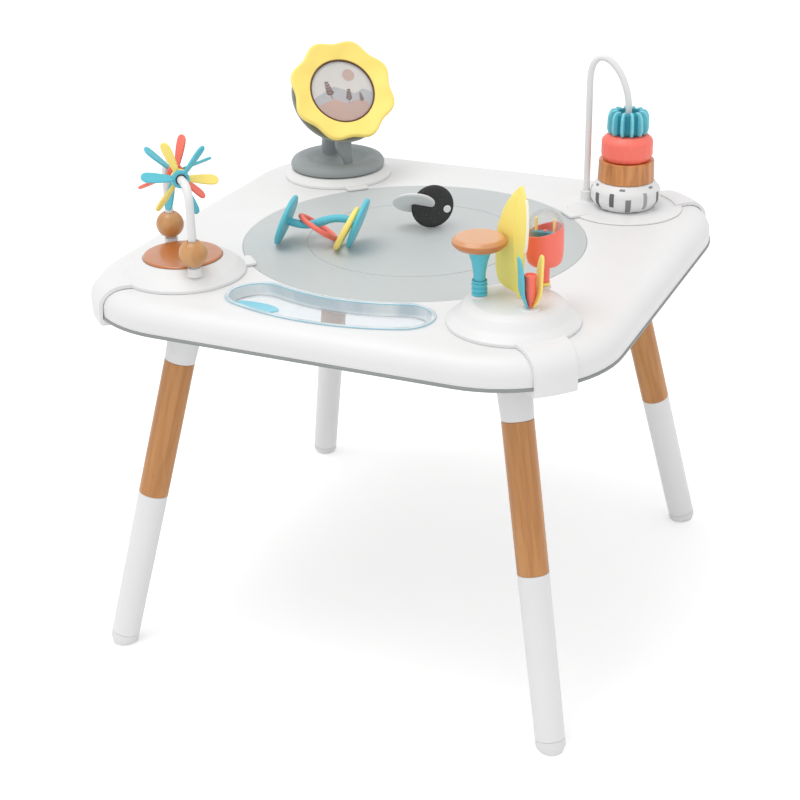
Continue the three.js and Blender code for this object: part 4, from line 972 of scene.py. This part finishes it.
def make_picture(place):
    """A small print of hills, a sun and leaf sprigs, in thin layers on the card."""
    reach, ink, edge = 40, 0.12, 0.02
    far_low, near_low, sprig_low = 4.81, 4.93, 5.0

    def hill(start, end, step, ridge):
        """The picture's rim from one angle to another, closed by the ridge, which stays inside the rim."""
        line = [polar(reach, angle) for angle in range(start, end, step)]
        for x, y in ridge:
            share = min(1, reach / math.hypot(x, y))
            line.append((x * share, y * share))
        return line
    ridge = [(38, -4), (28, 1), (16, -4), (4, 2), (-10, 8), (-22, 2), (-34, -3)]
    grey = Shape().add(*plate(hill(-170, -9, 8, ridge), ink, edge, 1, low=far_low))
    show("print_far_hill", grey, "*flower_picture", "print_grey", moved=place)
    ridge = [(30, -17), (18, -13), (2, -16), (-12, -9), (-26, -13)]
    rose = Shape().add(*plate(hill(-156, -31, 6, ridge), ink, edge, 1, low=near_low))
    sun_x, sun_y, sun = 13, 21, 8
    rose.add(*plate([(sun_x + sun * x, sun_y + sun * y) for x, y in circle_loop(1, 40)], ink, edge, 1, low=far_low))
    show("print_sun", rose, "*flower_picture", "print_rose", moved=place)
    brown = Shape()
    for x, y, size, turn in ((-15, -8, 1.0, 8), (6, -16, 0.8, -10), (24, -18, 0.6, 4)):
        spot = move(x, y, 0) @ spin_z(math.radians(turn)) @ Matrix.Diagonal((size, size, 1, 1))
        stem = [(-0.5, 0), (0.5, 0), (0.3, 22), (-0.3, 22)]
        brown.add(*plate(stem, ink, edge, 1, low=sprig_low), matrix=spot)
        for level in range(5):
            for side in (-1, 1):
                leaf = [(0, 0), (3.4 - 0.4 * level, 1.6), (7 - level, 0), (3.4 - 0.4 * level, -1.6)]
                tip = move(0, 5 + 4 * level, 0) @ spin_z(math.radians(90 - side * 48))
                brown.add(*plate(smooth_loop(leaf, 6), 0.1, 0.03, 1, low=sprig_low), matrix=spot @ tip)
    show("print_sprigs", brown, "*flower_picture", "print_brown", moved=place)


def make_stacker_pod():
    """Back right: four rings on a wire that bends over and comes down behind them."""
    home = pod_place("back_right")
    dome = [(POD_RADIUS, 2, 1), (65, 2.6, 10), (54, 3.2, 20), (0, 3.2)]
    bore, foot_out = 6.2, 49
    outwards = Vector((*polar(1, 135), 0))
    socket = soften([(0, 1), (9.5, 2.5, 0), (7.4, 5, 3), (7, 17.2, 2), (4.3, 17.2, 0.3), (4.3, 13, 0),
                     (0, 13)], 0.6, 5)
    pod_base("stacker", "back_right", dome, [(*lathe(socket, 40), move(*(outwards * foot_out)))])

    def at(out, height):
        return outwards * out + UP * height
    wire_low, mast_top, leg_top = 2, 124, 149
    path = [at(0, wire_low + (mast_top - wire_low) * step / 6) for step in range(6)]
    path += curve([at(0, mast_top), at(3, 177), at(50, 209), at(foot_out, leg_top)], 48)
    path += [at(foot_out, leg_top - (leg_top - wire_low) * step / 6) for step in range(1, 7)]
    show("stacking_wire", Shape().add(*tube(path, 3.9, 32)), "stacker_wire", "white_plastic", moved=home)

    level = 3.5

    def barrel(radius, end, height, belly, edge):
        return soften([(bore, level), (end, level, edge * 0.6), (radius, level + height * belly, edge),
                       (radius, level + height * (1 - belly), edge), (end, level + height, edge * 0.6),
                       (bore, level + height), (bore, level, 0)], 0.6, 6)
    white_line = barrel(41.8, 34, 33, 0.3, 11.0)
    show("white_ring", turned(white_line, 96), "ring_dashed", "white_plastic", moved=home)
    skin = [point for point in white_line if point[0] > 30]

    def reach_at(height):
        for (r0, z0), (r1, z1) in zip(skin, skin[1:]):
            if z0 <= level + height <= z1 and z1 > z0:
                return r0 + (r1 - r0) * (level + height - z0) / (z1 - z0)
        return 34

    def dash(low, high, half):
        """A dash that lies on the white ring between two heights, facing local X."""
        up_steps, turn_steps = 6, 4
        wide = turn_steps + 1
        back = wide * (up_steps + 1)
        spots = [low + (high - low) * step / up_steps for step in range(up_steps + 1)]
        turns = [math.radians(half * (2 * step / turn_steps - 1)) for step in range(wide)]
        points = []
        for lift in (0.22, -0.3):
            for spot in spots:
                reach = reach_at(spot) + lift
                points += [(reach * math.cos(turn), reach * math.sin(turn), level + spot) for turn in turns]
        rim = [row * wide for row in range(up_steps)] + [up_steps * wide + turn for turn in range(turn_steps)]
        rim += [row * wide + turn_steps for row in range(up_steps, 0, -1)] + list(range(turn_steps, 0, -1))
        faces = [(first, first + 1, first + wide + 1, first + wide)
                 for first in (row * wide + turn for row in range(up_steps) for turn in range(turn_steps))]
        faces += [(this, after, after + back, this + back) for this, after in zip(rim, rim[1:] + rim[:1])]
        return Shape().add(points, faces)
    front = -110.4
    for name, look, low, high, half, copies, turn in (
        ("tall_dashes", "dash_grey", 3, 22.5, 4.4, 3, -61), ("high_dashes", "dash_grey", 8.6, 25, 4, 3, -31),
        ("low_dashes", "dash_mid", 2, 19, 4.6, 3, -3), ("pale_dashes", "dash_pale", 5, 25.5, 3.6, 3, 27),
        ("shoulder_dashes", "dash_mid", 28.4, 30.6, 5.2, 6, -14),
        ("skirt_dashes", "dash_pale", 0.9, 2.2, 5.6, 6, 12),
    ):
        mesh = repeated(name, dash(low, high, half), copies, front + turn, look)
        show(name, mesh, "*ring_dashed", look, moved=home)
    level += 33.3
    wood = soften([(bore, level), (34, level), (33, level + 24.8), (bore, level + 24.8), (bore, level, 0)], 1.0, 5)
    ripple = 0.22

    def planed(angle, radius, height):
        return ripple * math.cos(22 * angle) if radius > 20 else 0
    ring = turned(wood, 176, planed)
    show("wood_ring", ring, "ring_wood", "brown_ring", moved=home)
    level += 25.1

    def wavy(angle, radius, height):
        return ripple * math.cos(20 * angle + 0.9 * math.sin(height * 0.35)) if radius > 28 else 0
    line = soften([(bore, level), (27.6, level, 4), (30.7, level + 6, 7), (30.7, level + 24, 7), (24, level + 30.6, 4),
                   (bore, level + 30.6), (bore, level, 0)], 0.6, 6)
    fine = []
    for (r0, z0), (r1, z1) in zip(line, line[1:]):
        parts = max(1, int(abs(z1 - z0) / 2)) if r0 > 28 and r1 > 28 else 1
        fine += [(r0 + (r1 - r0) * step / parts, z0 + (z1 - z0) * step / parts) for step in range(parts)]
    fine.append(fine[0])
    show("coral_ring", turned(fine, 160, wavy), "ring_coral", "coral_plastic", moved=home)
    level += 30.9

    core = soften([(bore, level), (17, level, 2), (18.6, level + 3, 3), (18.2, level + 25, 3), (15.6, level + 27.2, 1),
                   (12, level + 27.2, 1), (10.6, level + 23, 1), (bore, level + 23, 0.5), (bore, level, 0)], 0.5, 4)
    # The core's darker teal is painted shade in the grooves between the fins.
    show("teal_ring_core", turned(core, 96), "ring_teal", "deep_teal", moved=home)
    fin = soften([(15, level + 0.6), (22.6, level, 4), (25.6, level + 7, 8), (25, level + 22, 8), (21, level + 29, 5),
                  (13.6, level + 28.8, 1.6), (12, level + 24, 0)], 0.6, 6, closed=True)
    upright = Shape().add(*plate(fin, 3.4, 1.4, 4, low=-1.7), matrix=spin_x(math.pi / 2))
    # The fins' paler teal is painted light, as if lit through the plastic.
    fins = repeated("teal_ring_fins", upright, 12, front + 4, "teal_fin_painted_light")
    show("teal_ring_fins", fins, "*ring_teal", "teal_fin_painted_light", moved=home)


def bowed(line, thick, edge, side):
    """A petal with rounded edges, made in strips across its height, cupped and curved in towards its foot."""
    foot_rise, foot_curve, cup = 22, 7.4, 0.02
    layers = [(depth, inset(line, back)) for depth, back in (
        (0, edge), (edge * 0.4, edge * 0.3), (edge, 0), (thick - edge, 0),
        (thick - edge * 0.4, edge * 0.3), (thick, edge))]
    points, faces = loft([[(x, y, depth) for x, y in outline] for depth, outline in layers])
    for depth, outline in (layers[0], layers[-1]):
        count = len(outline)
        start = len(points)
        points += [(x, y, depth) for x, y in outline]
        strip = [(start + index, start + (count - index) % count) for index in range(count // 2 + 1)]
        for (a, b), (c, d) in zip(strip, strip[1:]):
            face = tuple(dict.fromkeys((a, c, d, b)))
            if len(face) > 2:
                faces.append(face if depth else face[::-1])
    bent = []
    for x, y, depth in points:
        fall = max(0.0, 1 - y / foot_rise)
        bent.append((x, y, depth - side * (foot_curve * fall * fall + cup * x * x)))
    return bent, faces


def make_discovery_pod():
    """Front right: a mushroom on a ball, a leaf flap, a tulip and a rattle on one rounded base."""
    level = place_at(POD_SPOT, -POD_SPOT, DECK_TOP)
    bell = [(POD_RADIUS, 3.5, 1.6), (60, 11, 16), (52, 21, 12), (44, 25, 10), (0, 26.6)]
    seat = 27.2
    toys = {  # place, radius of the boss under it, radius and height of its pin
        "mushroom": ((-34.7, -6.8), 8.2, None), "leaf": ((6.2, 1.2), 3.3, (1.6, 38.9)),
        "tulip": ((25, -21.4), 9, (1.6, 31.9)), "rattle": ((17.3, 42.6), 6.4, (2, 39)),
    }
    place = {toy: move(*spot, 0) for toy, (spot, _, _) in toys.items()}
    square = spin_z(math.radians(-CORNERS["front_right"]))
    bosses, pins = [], []
    for toy, (_, radius, pin) in toys.items():
        boss = soften([(0, 22), (radius + 1.6, 24.4, 0), (radius, 26.9, 1), (0, 26.9)], 0.6, 4)
        bosses.append((*lathe(boss, 40), square @ place[toy]))
        if pin:
            thin, high = pin
            pins.append((*lathe([(0, 25), (thin, 25), (thin, high), (0, high)], 20), square @ place[toy]))
    pod_base("discovery", "front_right", bell, bosses + pins, 9)

    shroom = level @ place["mushroom"]
    collar = [(0, seat, 0), (8.2, seat, 0.5)]
    for rib in range(3):
        low = seat + 2.4 + rib * 4.9
        collar += [(8.3, low, 0.5), (6.8, low + 0.8, 0.3), (6.8, low + 1.8, 0.3), (8.2, low + 2.6, 0.5)]
    collar += [(7.9, 43.2, 0.4), (6.9, 43.2, 0.2), (6.5, 40.6, 0), (5, 38.2, 0), (2.6, 36.7, 0), (0, 36.2)]
    foot = turned(soften(collar, 0.4, 3), 56)
    show("mushroom_foot", foot, "mushroom_collar", "teal_plastic", moved=shroom)
    stem = soften([(0, 37), (4.4, 38.8, 2), (6.2, 43.2, 2), (6.3, 50, 20), (8.2, 62, 20), (11.2, 71.7, 20),
                   (14, 78, 1), (0, 78)], 0.5, 8)
    show("mushroom_trunk", turned(stem, 64), "mushroom_stem", "teal_plastic", moved=shroom)
    cap = soften([(0, 78.3), (24.2, 78.3, 3), (28.3, 82.5, 4), (28.3, 85.6, 5), (23.8, 89.6, 4), (0, 89.8)], 0.6, 8)
    top = turned(cap, 96)
    show("mushroom_top", top, "mushroom_cap", "cap_brown", moved=shroom)

    long, tall, pin_along, leaf_low, thick = 57, 114, 11.2, 29.2, 3
    shares = [(0.23, 0.01), (0.52, 0), (0.8, 0.01), (0.93, 0.06), (1, 0.2), (0.97, 0.46), (0.84, 0.64), (0.61, 0.82),
              (0.23, 1), (0.11, 0.96), (0, 0.8), (0, 0.66), (0.06, 0.42), (0.12, 0.2), (0.17, 0.06)]
    outline = smooth_loop([(long * out - pin_along, leaf_low + tall * up) for out, up in shares], 6)
    leaf = Shape().add(*plate(outline, thick, 1.2, 4), matrix=move(0, thick / 2, 0) @ spin_x(math.pi / 2))
    sleeve = soften([(1.7, seat), (3.3, seat), (3.3, seat + 14), (0, seat + 14.6, 0), (0, seat + 12, 0),
                     (1.7, seat + 12), (1.7, seat, 0)], 0.4, 3)
    leaf.add(*lathe(sleeve, 32))
    rib = soften([(-3, 36), (5, 66), (7, 96), (4.4, 132)], 30, 8)
    for side in (1, -1):
        leaf.add(*tube([(x + 3, side * 1.6, z) for x, z in rib], 0.7, 10, 0.5))
    stood = level @ place["leaf"] @ spin_z(math.radians(143))
    # The leaf's brighter yellow is painted light.
    show("leaf_plate", leaf, "leaf_flap", "leaf_yellow_painted_light", moved=stood)
    # A pale strip along the leaf's front edge: a painted highlight on its thickness.
    strip = smooth_loop([(0.3, 0.3), (0.07, 0.42), (0.01, 0.6), (0.005, 0.76), (0.06, 0.9), (0.3, 1)], 8)[8:33]
    edge = [(long * out - pin_along - 0.8, 0, leaf_low + tall * up) for out, up in strip]
    highlight_strip = Shape().add(*tube(edge, 1.5, 14, 0.7))
    show("leaf_edge_highlight", highlight_strip, "*leaf_flap", "painted_edge_highlight", moved=stood)

    flower = level @ place["tulip"] @ spin_z(math.radians(180 + VIEW_TURN))
    bud = soften([(0, seat), (2.2, seat), (2.8, seat + 4, 3), (5.2, seat + 12, 8), (6, seat + 20, 8),
                  (6, seat + 30.6, 0.3), (6.3, seat + 31.2, 0.3), (6.3, seat + 34.6, 0.6), (5.3, seat + 34.8, 0.4),
                  (4.6, seat + 33, 0.6), (0, seat + 32.4)], 0.5, 6)
    show("tulip_heart", turned(bud, 48), "tulip_bud", "coral_plastic", moved=flower)
    half = [(3.8, 0), (8.6, 9), (10.5, 24), (9.2, 41), (4.9, 51.4), (0, 53)]
    petal_line = smooth_loop(half + [(-x, y) for x, y in reversed(half[:-1])], 5)
    petal_thick, petal_out = 2.4, 10.4
    for side, colour in ((1, "teal"), (-1, "yellow")):
        upright = spin_z(math.pi / 2) @ spin_x(math.pi / 2) @ move(0, 0, -petal_thick / 2)
        lean = spin_y(side * math.radians(1.6))
        put = spin_z(math.radians(9)) @ move(side * petal_out, 0, seat + 0.8) @ lean @ upright
        petal = Shape().add(*bowed(petal_line, petal_thick, 1.0, side), matrix=put)
        show(f"tulip_petal_{colour}_plate", petal, f"tulip_petal_{colour}", colour + "_plastic", moved=flower)
    make_rattle(level @ place["rattle"], seat)


def make_rattle(drum, seat):
    """A cup and a clear dome that meet on a slanting seam, with a bar and two rods inside."""
    foot = soften([(2.1, seat), (6.4, seat), (6.4, 31), (2.1, 31), (2.1, seat, 0)], 0.6, 4)
    show("rattle_stand", turned(foot, 48), "rattle_foot", "yellow_plastic", moved=drum)
    slope, facing = math.radians(15), math.radians(VIEW_TURN)
    outer, inner, ball_up, seam_up, around = 19.4, 17.6, 89, 87, 96
    angles = [FULL * step / around for step in range(around)]

    def seam(angle, radius):
        return seam_up + radius * math.cos(angle - facing) * math.tan(slope)
    loops = []
    for radius, height, on_seam in (
        (3, 31.3, False), (5.2, 31.3, False), (5.6, 31.8, False), (5.6, 46, False), (6.4, 48.2, False),
        (8, 49, False), (11.4, 49.1, False), (15, 50.4, False), (17.4, 53, False), (18.6, 57, False), (19.2, 62, False),
        (outer, 68, False), (outer, 76, False), (outer, -0.5, True), (outer - 0.2, 0, True), (inner + 0.3, 0, True),
        (inner, -0.5, True), (inner, 66, False), (16.6, 58, False), (13, 52.4, False), (3, 51, False),
    ):
        loop = []
        for angle in angles:
            reach, up = radius, height
            if on_seam:
                up += seam(angle, radius)
                if up > ball_up:
                    reach = math.sqrt(max(0.0, radius * radius - (up - ball_up) ** 2))
            loop.append((reach * math.cos(angle), reach * math.sin(angle), up))
        loops.append(loop)
    cup = Shape().add(*loft(loops, True, True))
    cup.add(*lathe([(0, 50), (2, 50), (2, 86), (1.6, 86.5), (0, 86.5)], 24))
    show("rattle_drum", cup, "rattle_cup", "coral_plastic", moved=drum, crease=50)
    skins = []
    steps = 14
    for radius in (outer, inner):
        rows = []
        for step in range(steps + 1):
            row = []
            for angle in angles:
                low = seam(angle, radius) + POD_GAP
                start = math.asin(max(-1.0, min(1.0, (low - ball_up) / radius))) if low > ball_up else 0.0
                climb = start + (math.pi / 2 - start) * step / steps
                up = low if step == 0 and low < ball_up else ball_up + radius * math.sin(climb)
                reach = max(radius * math.cos(climb), 0.05)
                row.append((reach * math.cos(angle), reach * math.sin(angle), up))
            rows.append(row)
        skins.append(rows)
    shell = Shape().add(*loft(skins[1][::-1] + skins[0], True, True))
    show("rattle_window", shell, "rattle_dome", "dome_clear", moved=drum, crease=50)
    bar_low, bar_thick = 79, 6
    bar = soften([(-15, -3.2), (15, -3.2), (15, 3.2), (-15, 3.2)], 3, 5, closed=True)
    rotor = Shape().add(*plate(bar, bar_thick, 1.2, 3, low=bar_low))
    rotor.add(*lathe(soften([(2.1, 79), (4.6, 79), (4.6, 85.4), (2.1, 85.4), (2.1, 79, 0)], 0.5, 3), 32))
    show("rattle_bar", rotor, "rattle_rotor", "deep_teal", moved=drum)
    for index, out in enumerate((-9.6, 9.6)):
        rod = Shape().add(*tube([(out, 0, 82), (out, 0, 99.5)], 1.5, 16, 0.8))
        show(f"rattle_rod_{index + 1}", rod, "*rattle_rotor", "yellow_plastic", moved=drum)


# Loose toys
def roundel(radius, thick, rim, edge=2.0):
    """The outline of a disc that thins towards its rim."""
    low, high = -thick / 2, thick / 2
    return soften([(0, low), (radius - thick / 2, low, edge * 2), (radius, -rim / 2, edge), (radius, rim / 2, edge),
                   (radius - thick / 2, high, edge * 2), (0, high)], edge, 6)


def make_spool():
    """A dumbbell of two leaning discs on an S-bent bar, with two loose rings."""
    lean = math.radians(22)
    radius, thick, apart = 30.8, 6, 42.4
    lift = radius * math.cos(lean) + thick / 2 * math.sin(lean) + POD_GAP
    home = place_at(-88, -63.4, DECK_TOP, 13.2)
    spool = Shape()
    for side in (-1, 1):
        leaning = move(side * apart, 0, lift) @ spin_y(math.pi / 2 + lean)
        spool.add(*lathe(roundel(radius, thick, 3), 72), matrix=leaning)
    near, far = Vector((-apart, 0, lift)), Vector((apart, 0, lift))
    pull = Vector((math.cos(lean), 0, -math.sin(lean))) * 44
    bar = curve([near, near + pull, far - pull, far], 40)
    spool.add(*tube(bar, 4.6, 28))
    ahead = (bar[21] - bar[19]).normalized()
    knuckle = Matrix.Translation(bar[20]) @ UP.rotation_difference(ahead).to_matrix().to_4x4()
    rib_line = [(0, -6, 0), (4.7, -6, 0)]
    for rib in range(5):
        rib_line += [(5.3, -4.8 + rib * 2.3, 0.3), (4.7, -3.9 + rib * 2.3, 0.3)]
    spool.add(*lathe(soften(rib_line + [(0, 6.4, 0)], 0.3, 3), 32), matrix=knuckle)
    show("spool_turning", spool, "spool_body", "teal_plastic", moved=home, grain=0.6, rounds=3)
    for name, look, at, axis, radius, section in (
        ("spool_ring_coral", "coral_plastic", (-7.2, 9.3, 19.8), (0.519, 0.282, 0.811), 26.4, 6.0),
        ("spool_ring_yellow", "yellow_plastic", (31, -9, 26.2), (0.8755, 0, -0.483), 27.9, 6.6),
    ):
        hoop = [(radius - section / 2 + x, y) for x, y in circle_loop(section / 2, 20)]
        hoop.append(hoop[0])
        turn = UP.rotation_difference(Vector(axis).normalized()).to_matrix().to_4x4()
        show(name + "_hoop", turned(hoop, 72), name, look, moved=home @ move(*at) @ turn)


def make_disc_pair():
    """A black disc that stands in a slot of its own with a white disc pushed through it."""
    home = place_at(4.8, 42.6, 486.3, 40)
    black = Shape().add(*lathe(roundel(26, 5.4, 1.6), 96), matrix=spin_x(math.pi / 2))
    black_piece = show("black_roundel", black, "disc_black", "black_plastic", moved=home)
    dot = Shape()
    for side in (-1, 1):
        line = soften([(0, 1.5), (4.6, 1.5, 0), (4.6, 2.7, 0.2), (3.9, 3.1, 0.4), (0, 3.2)], 0.2, 3)
        dot.add(*lathe(line, 40), matrix=move(17.3, 0, -4.4) @ spin_x(side * math.pi / 2))
    show("white_dot", dot, "*disc_black", "white_plastic", moved=home)
    tip = spin_y(math.radians(16)) @ move(-24, 0, 0) @ spin_x(math.radians(-40))
    radius, thick, gap = 25, 4, 0.3
    white = Shape().add(*lathe(roundel(radius, thick, 1.2), 96), matrix=tip)
    show("white_roundel", white, "disc_white", "white_plastic", moved=home)
    wide, deep = radius + gap, thick / 2 + gap
    cutter = Shape().add(*lathe([(0, -deep), (wide, -deep), (wide, deep), (0, deep)], 96), matrix=tip)
    tool = link("slot_tool", cutter.mesh("slot_tool"))
    tool.data.transform(Matrix.Scale(MM, 4) @ home @ Matrix.Scale(1 / MM, 4))
    cut = black_piece.modifiers.new("slot", "BOOLEAN")
    cut.object = tool
    cut.operation = "DIFFERENCE"
    cut.solver = "EXACT"
    settle(black_piece)
    paint(black_piece, "black_plastic")
    bpy.data.objects.remove(tool)


# Room
def make_room():
    """A white floor that keeps the shadow, an even white world and two soft lamps."""
    floor_glow, world_level = 0.24, 0.84
    scene = bpy.context.scene
    scene.view_settings.view_transform = "Standard"
    bpy.ops.mesh.primitive_plane_add(size=40, location=(0, 0, 0))
    floor = bpy.context.object
    floor.name = "floor"
    finish = Finish("floor_paper")
    finish.set("Base Color", finish.blend(finish.noise(2), linear(253, 253, 253), linear(255, 255, 255)))
    finish.set("Roughness", 0.9)
    finish.set("Specular IOR Level", 0.0)
    path = finish.add("ShaderNodeLightPath").outputs
    seen = finish.maths("MAXIMUM", path["Is Camera Ray"], path["Is Glossy Ray"])
    seen = finish.maths("MAXIMUM", seen, path["Is Transmission Ray"])
    finish.set("Emission Color", (1, 1, 1, 1))
    finish.set("Emission Strength", finish.maths("MULTIPLY", seen, floor_glow))
    floor.data.materials.append(finish.material)
    world = bpy.data.worlds.new("studio")
    scene.world = world
    world.use_nodes = True
    nodes, links = world.node_tree.nodes, world.node_tree.links
    nodes["Background"].inputs["Color"].default_value = (1, 1, 1, 1)
    ray = nodes.new("ShaderNodeLightPath").outputs
    level = ray["Is Camera Ray"]
    for kind, other in (("MAXIMUM", ray["Is Glossy Ray"]), ("MAXIMUM", ray["Is Transmission Ray"]),
                        ("MULTIPLY", 1 - world_level), ("ADD", world_level)):
        step = nodes.new("ShaderNodeMath")
        step.operation = kind
        links.new(level, step.inputs[0])
        if isinstance(other, float):
            step.inputs[1].default_value = other
        else:
            links.new(other, step.inputs[1])
        level = step.outputs[0]
    links.new(level, nodes["Background"].inputs["Strength"])
    for name, place, size, power in (
        ("key", (-0.5, -0.6, 3.1), 1.8, 30),
        ("fill", (1.0, -3.0, 0.7), 2.5, 5),
    ):
        lamp = bpy.data.lights.new(name, "AREA")
        lamp.size = size
        lamp.energy = power
        holder = bpy.data.objects.new(name, lamp)
        scene.collection.objects.link(holder)
        holder.location = place
        holder.rotation_euler = (Vector((0, 0, 0.4)) - Vector(place)).to_track_quat("-Z", "Y").to_euler()


make_deck()
make_tray()
make_legs()
make_spinner_pod()
make_flower_pod()
make_stacker_pod()
make_discovery_pod()
make_spool()
make_disc_pair()
make_camera()
make_room()
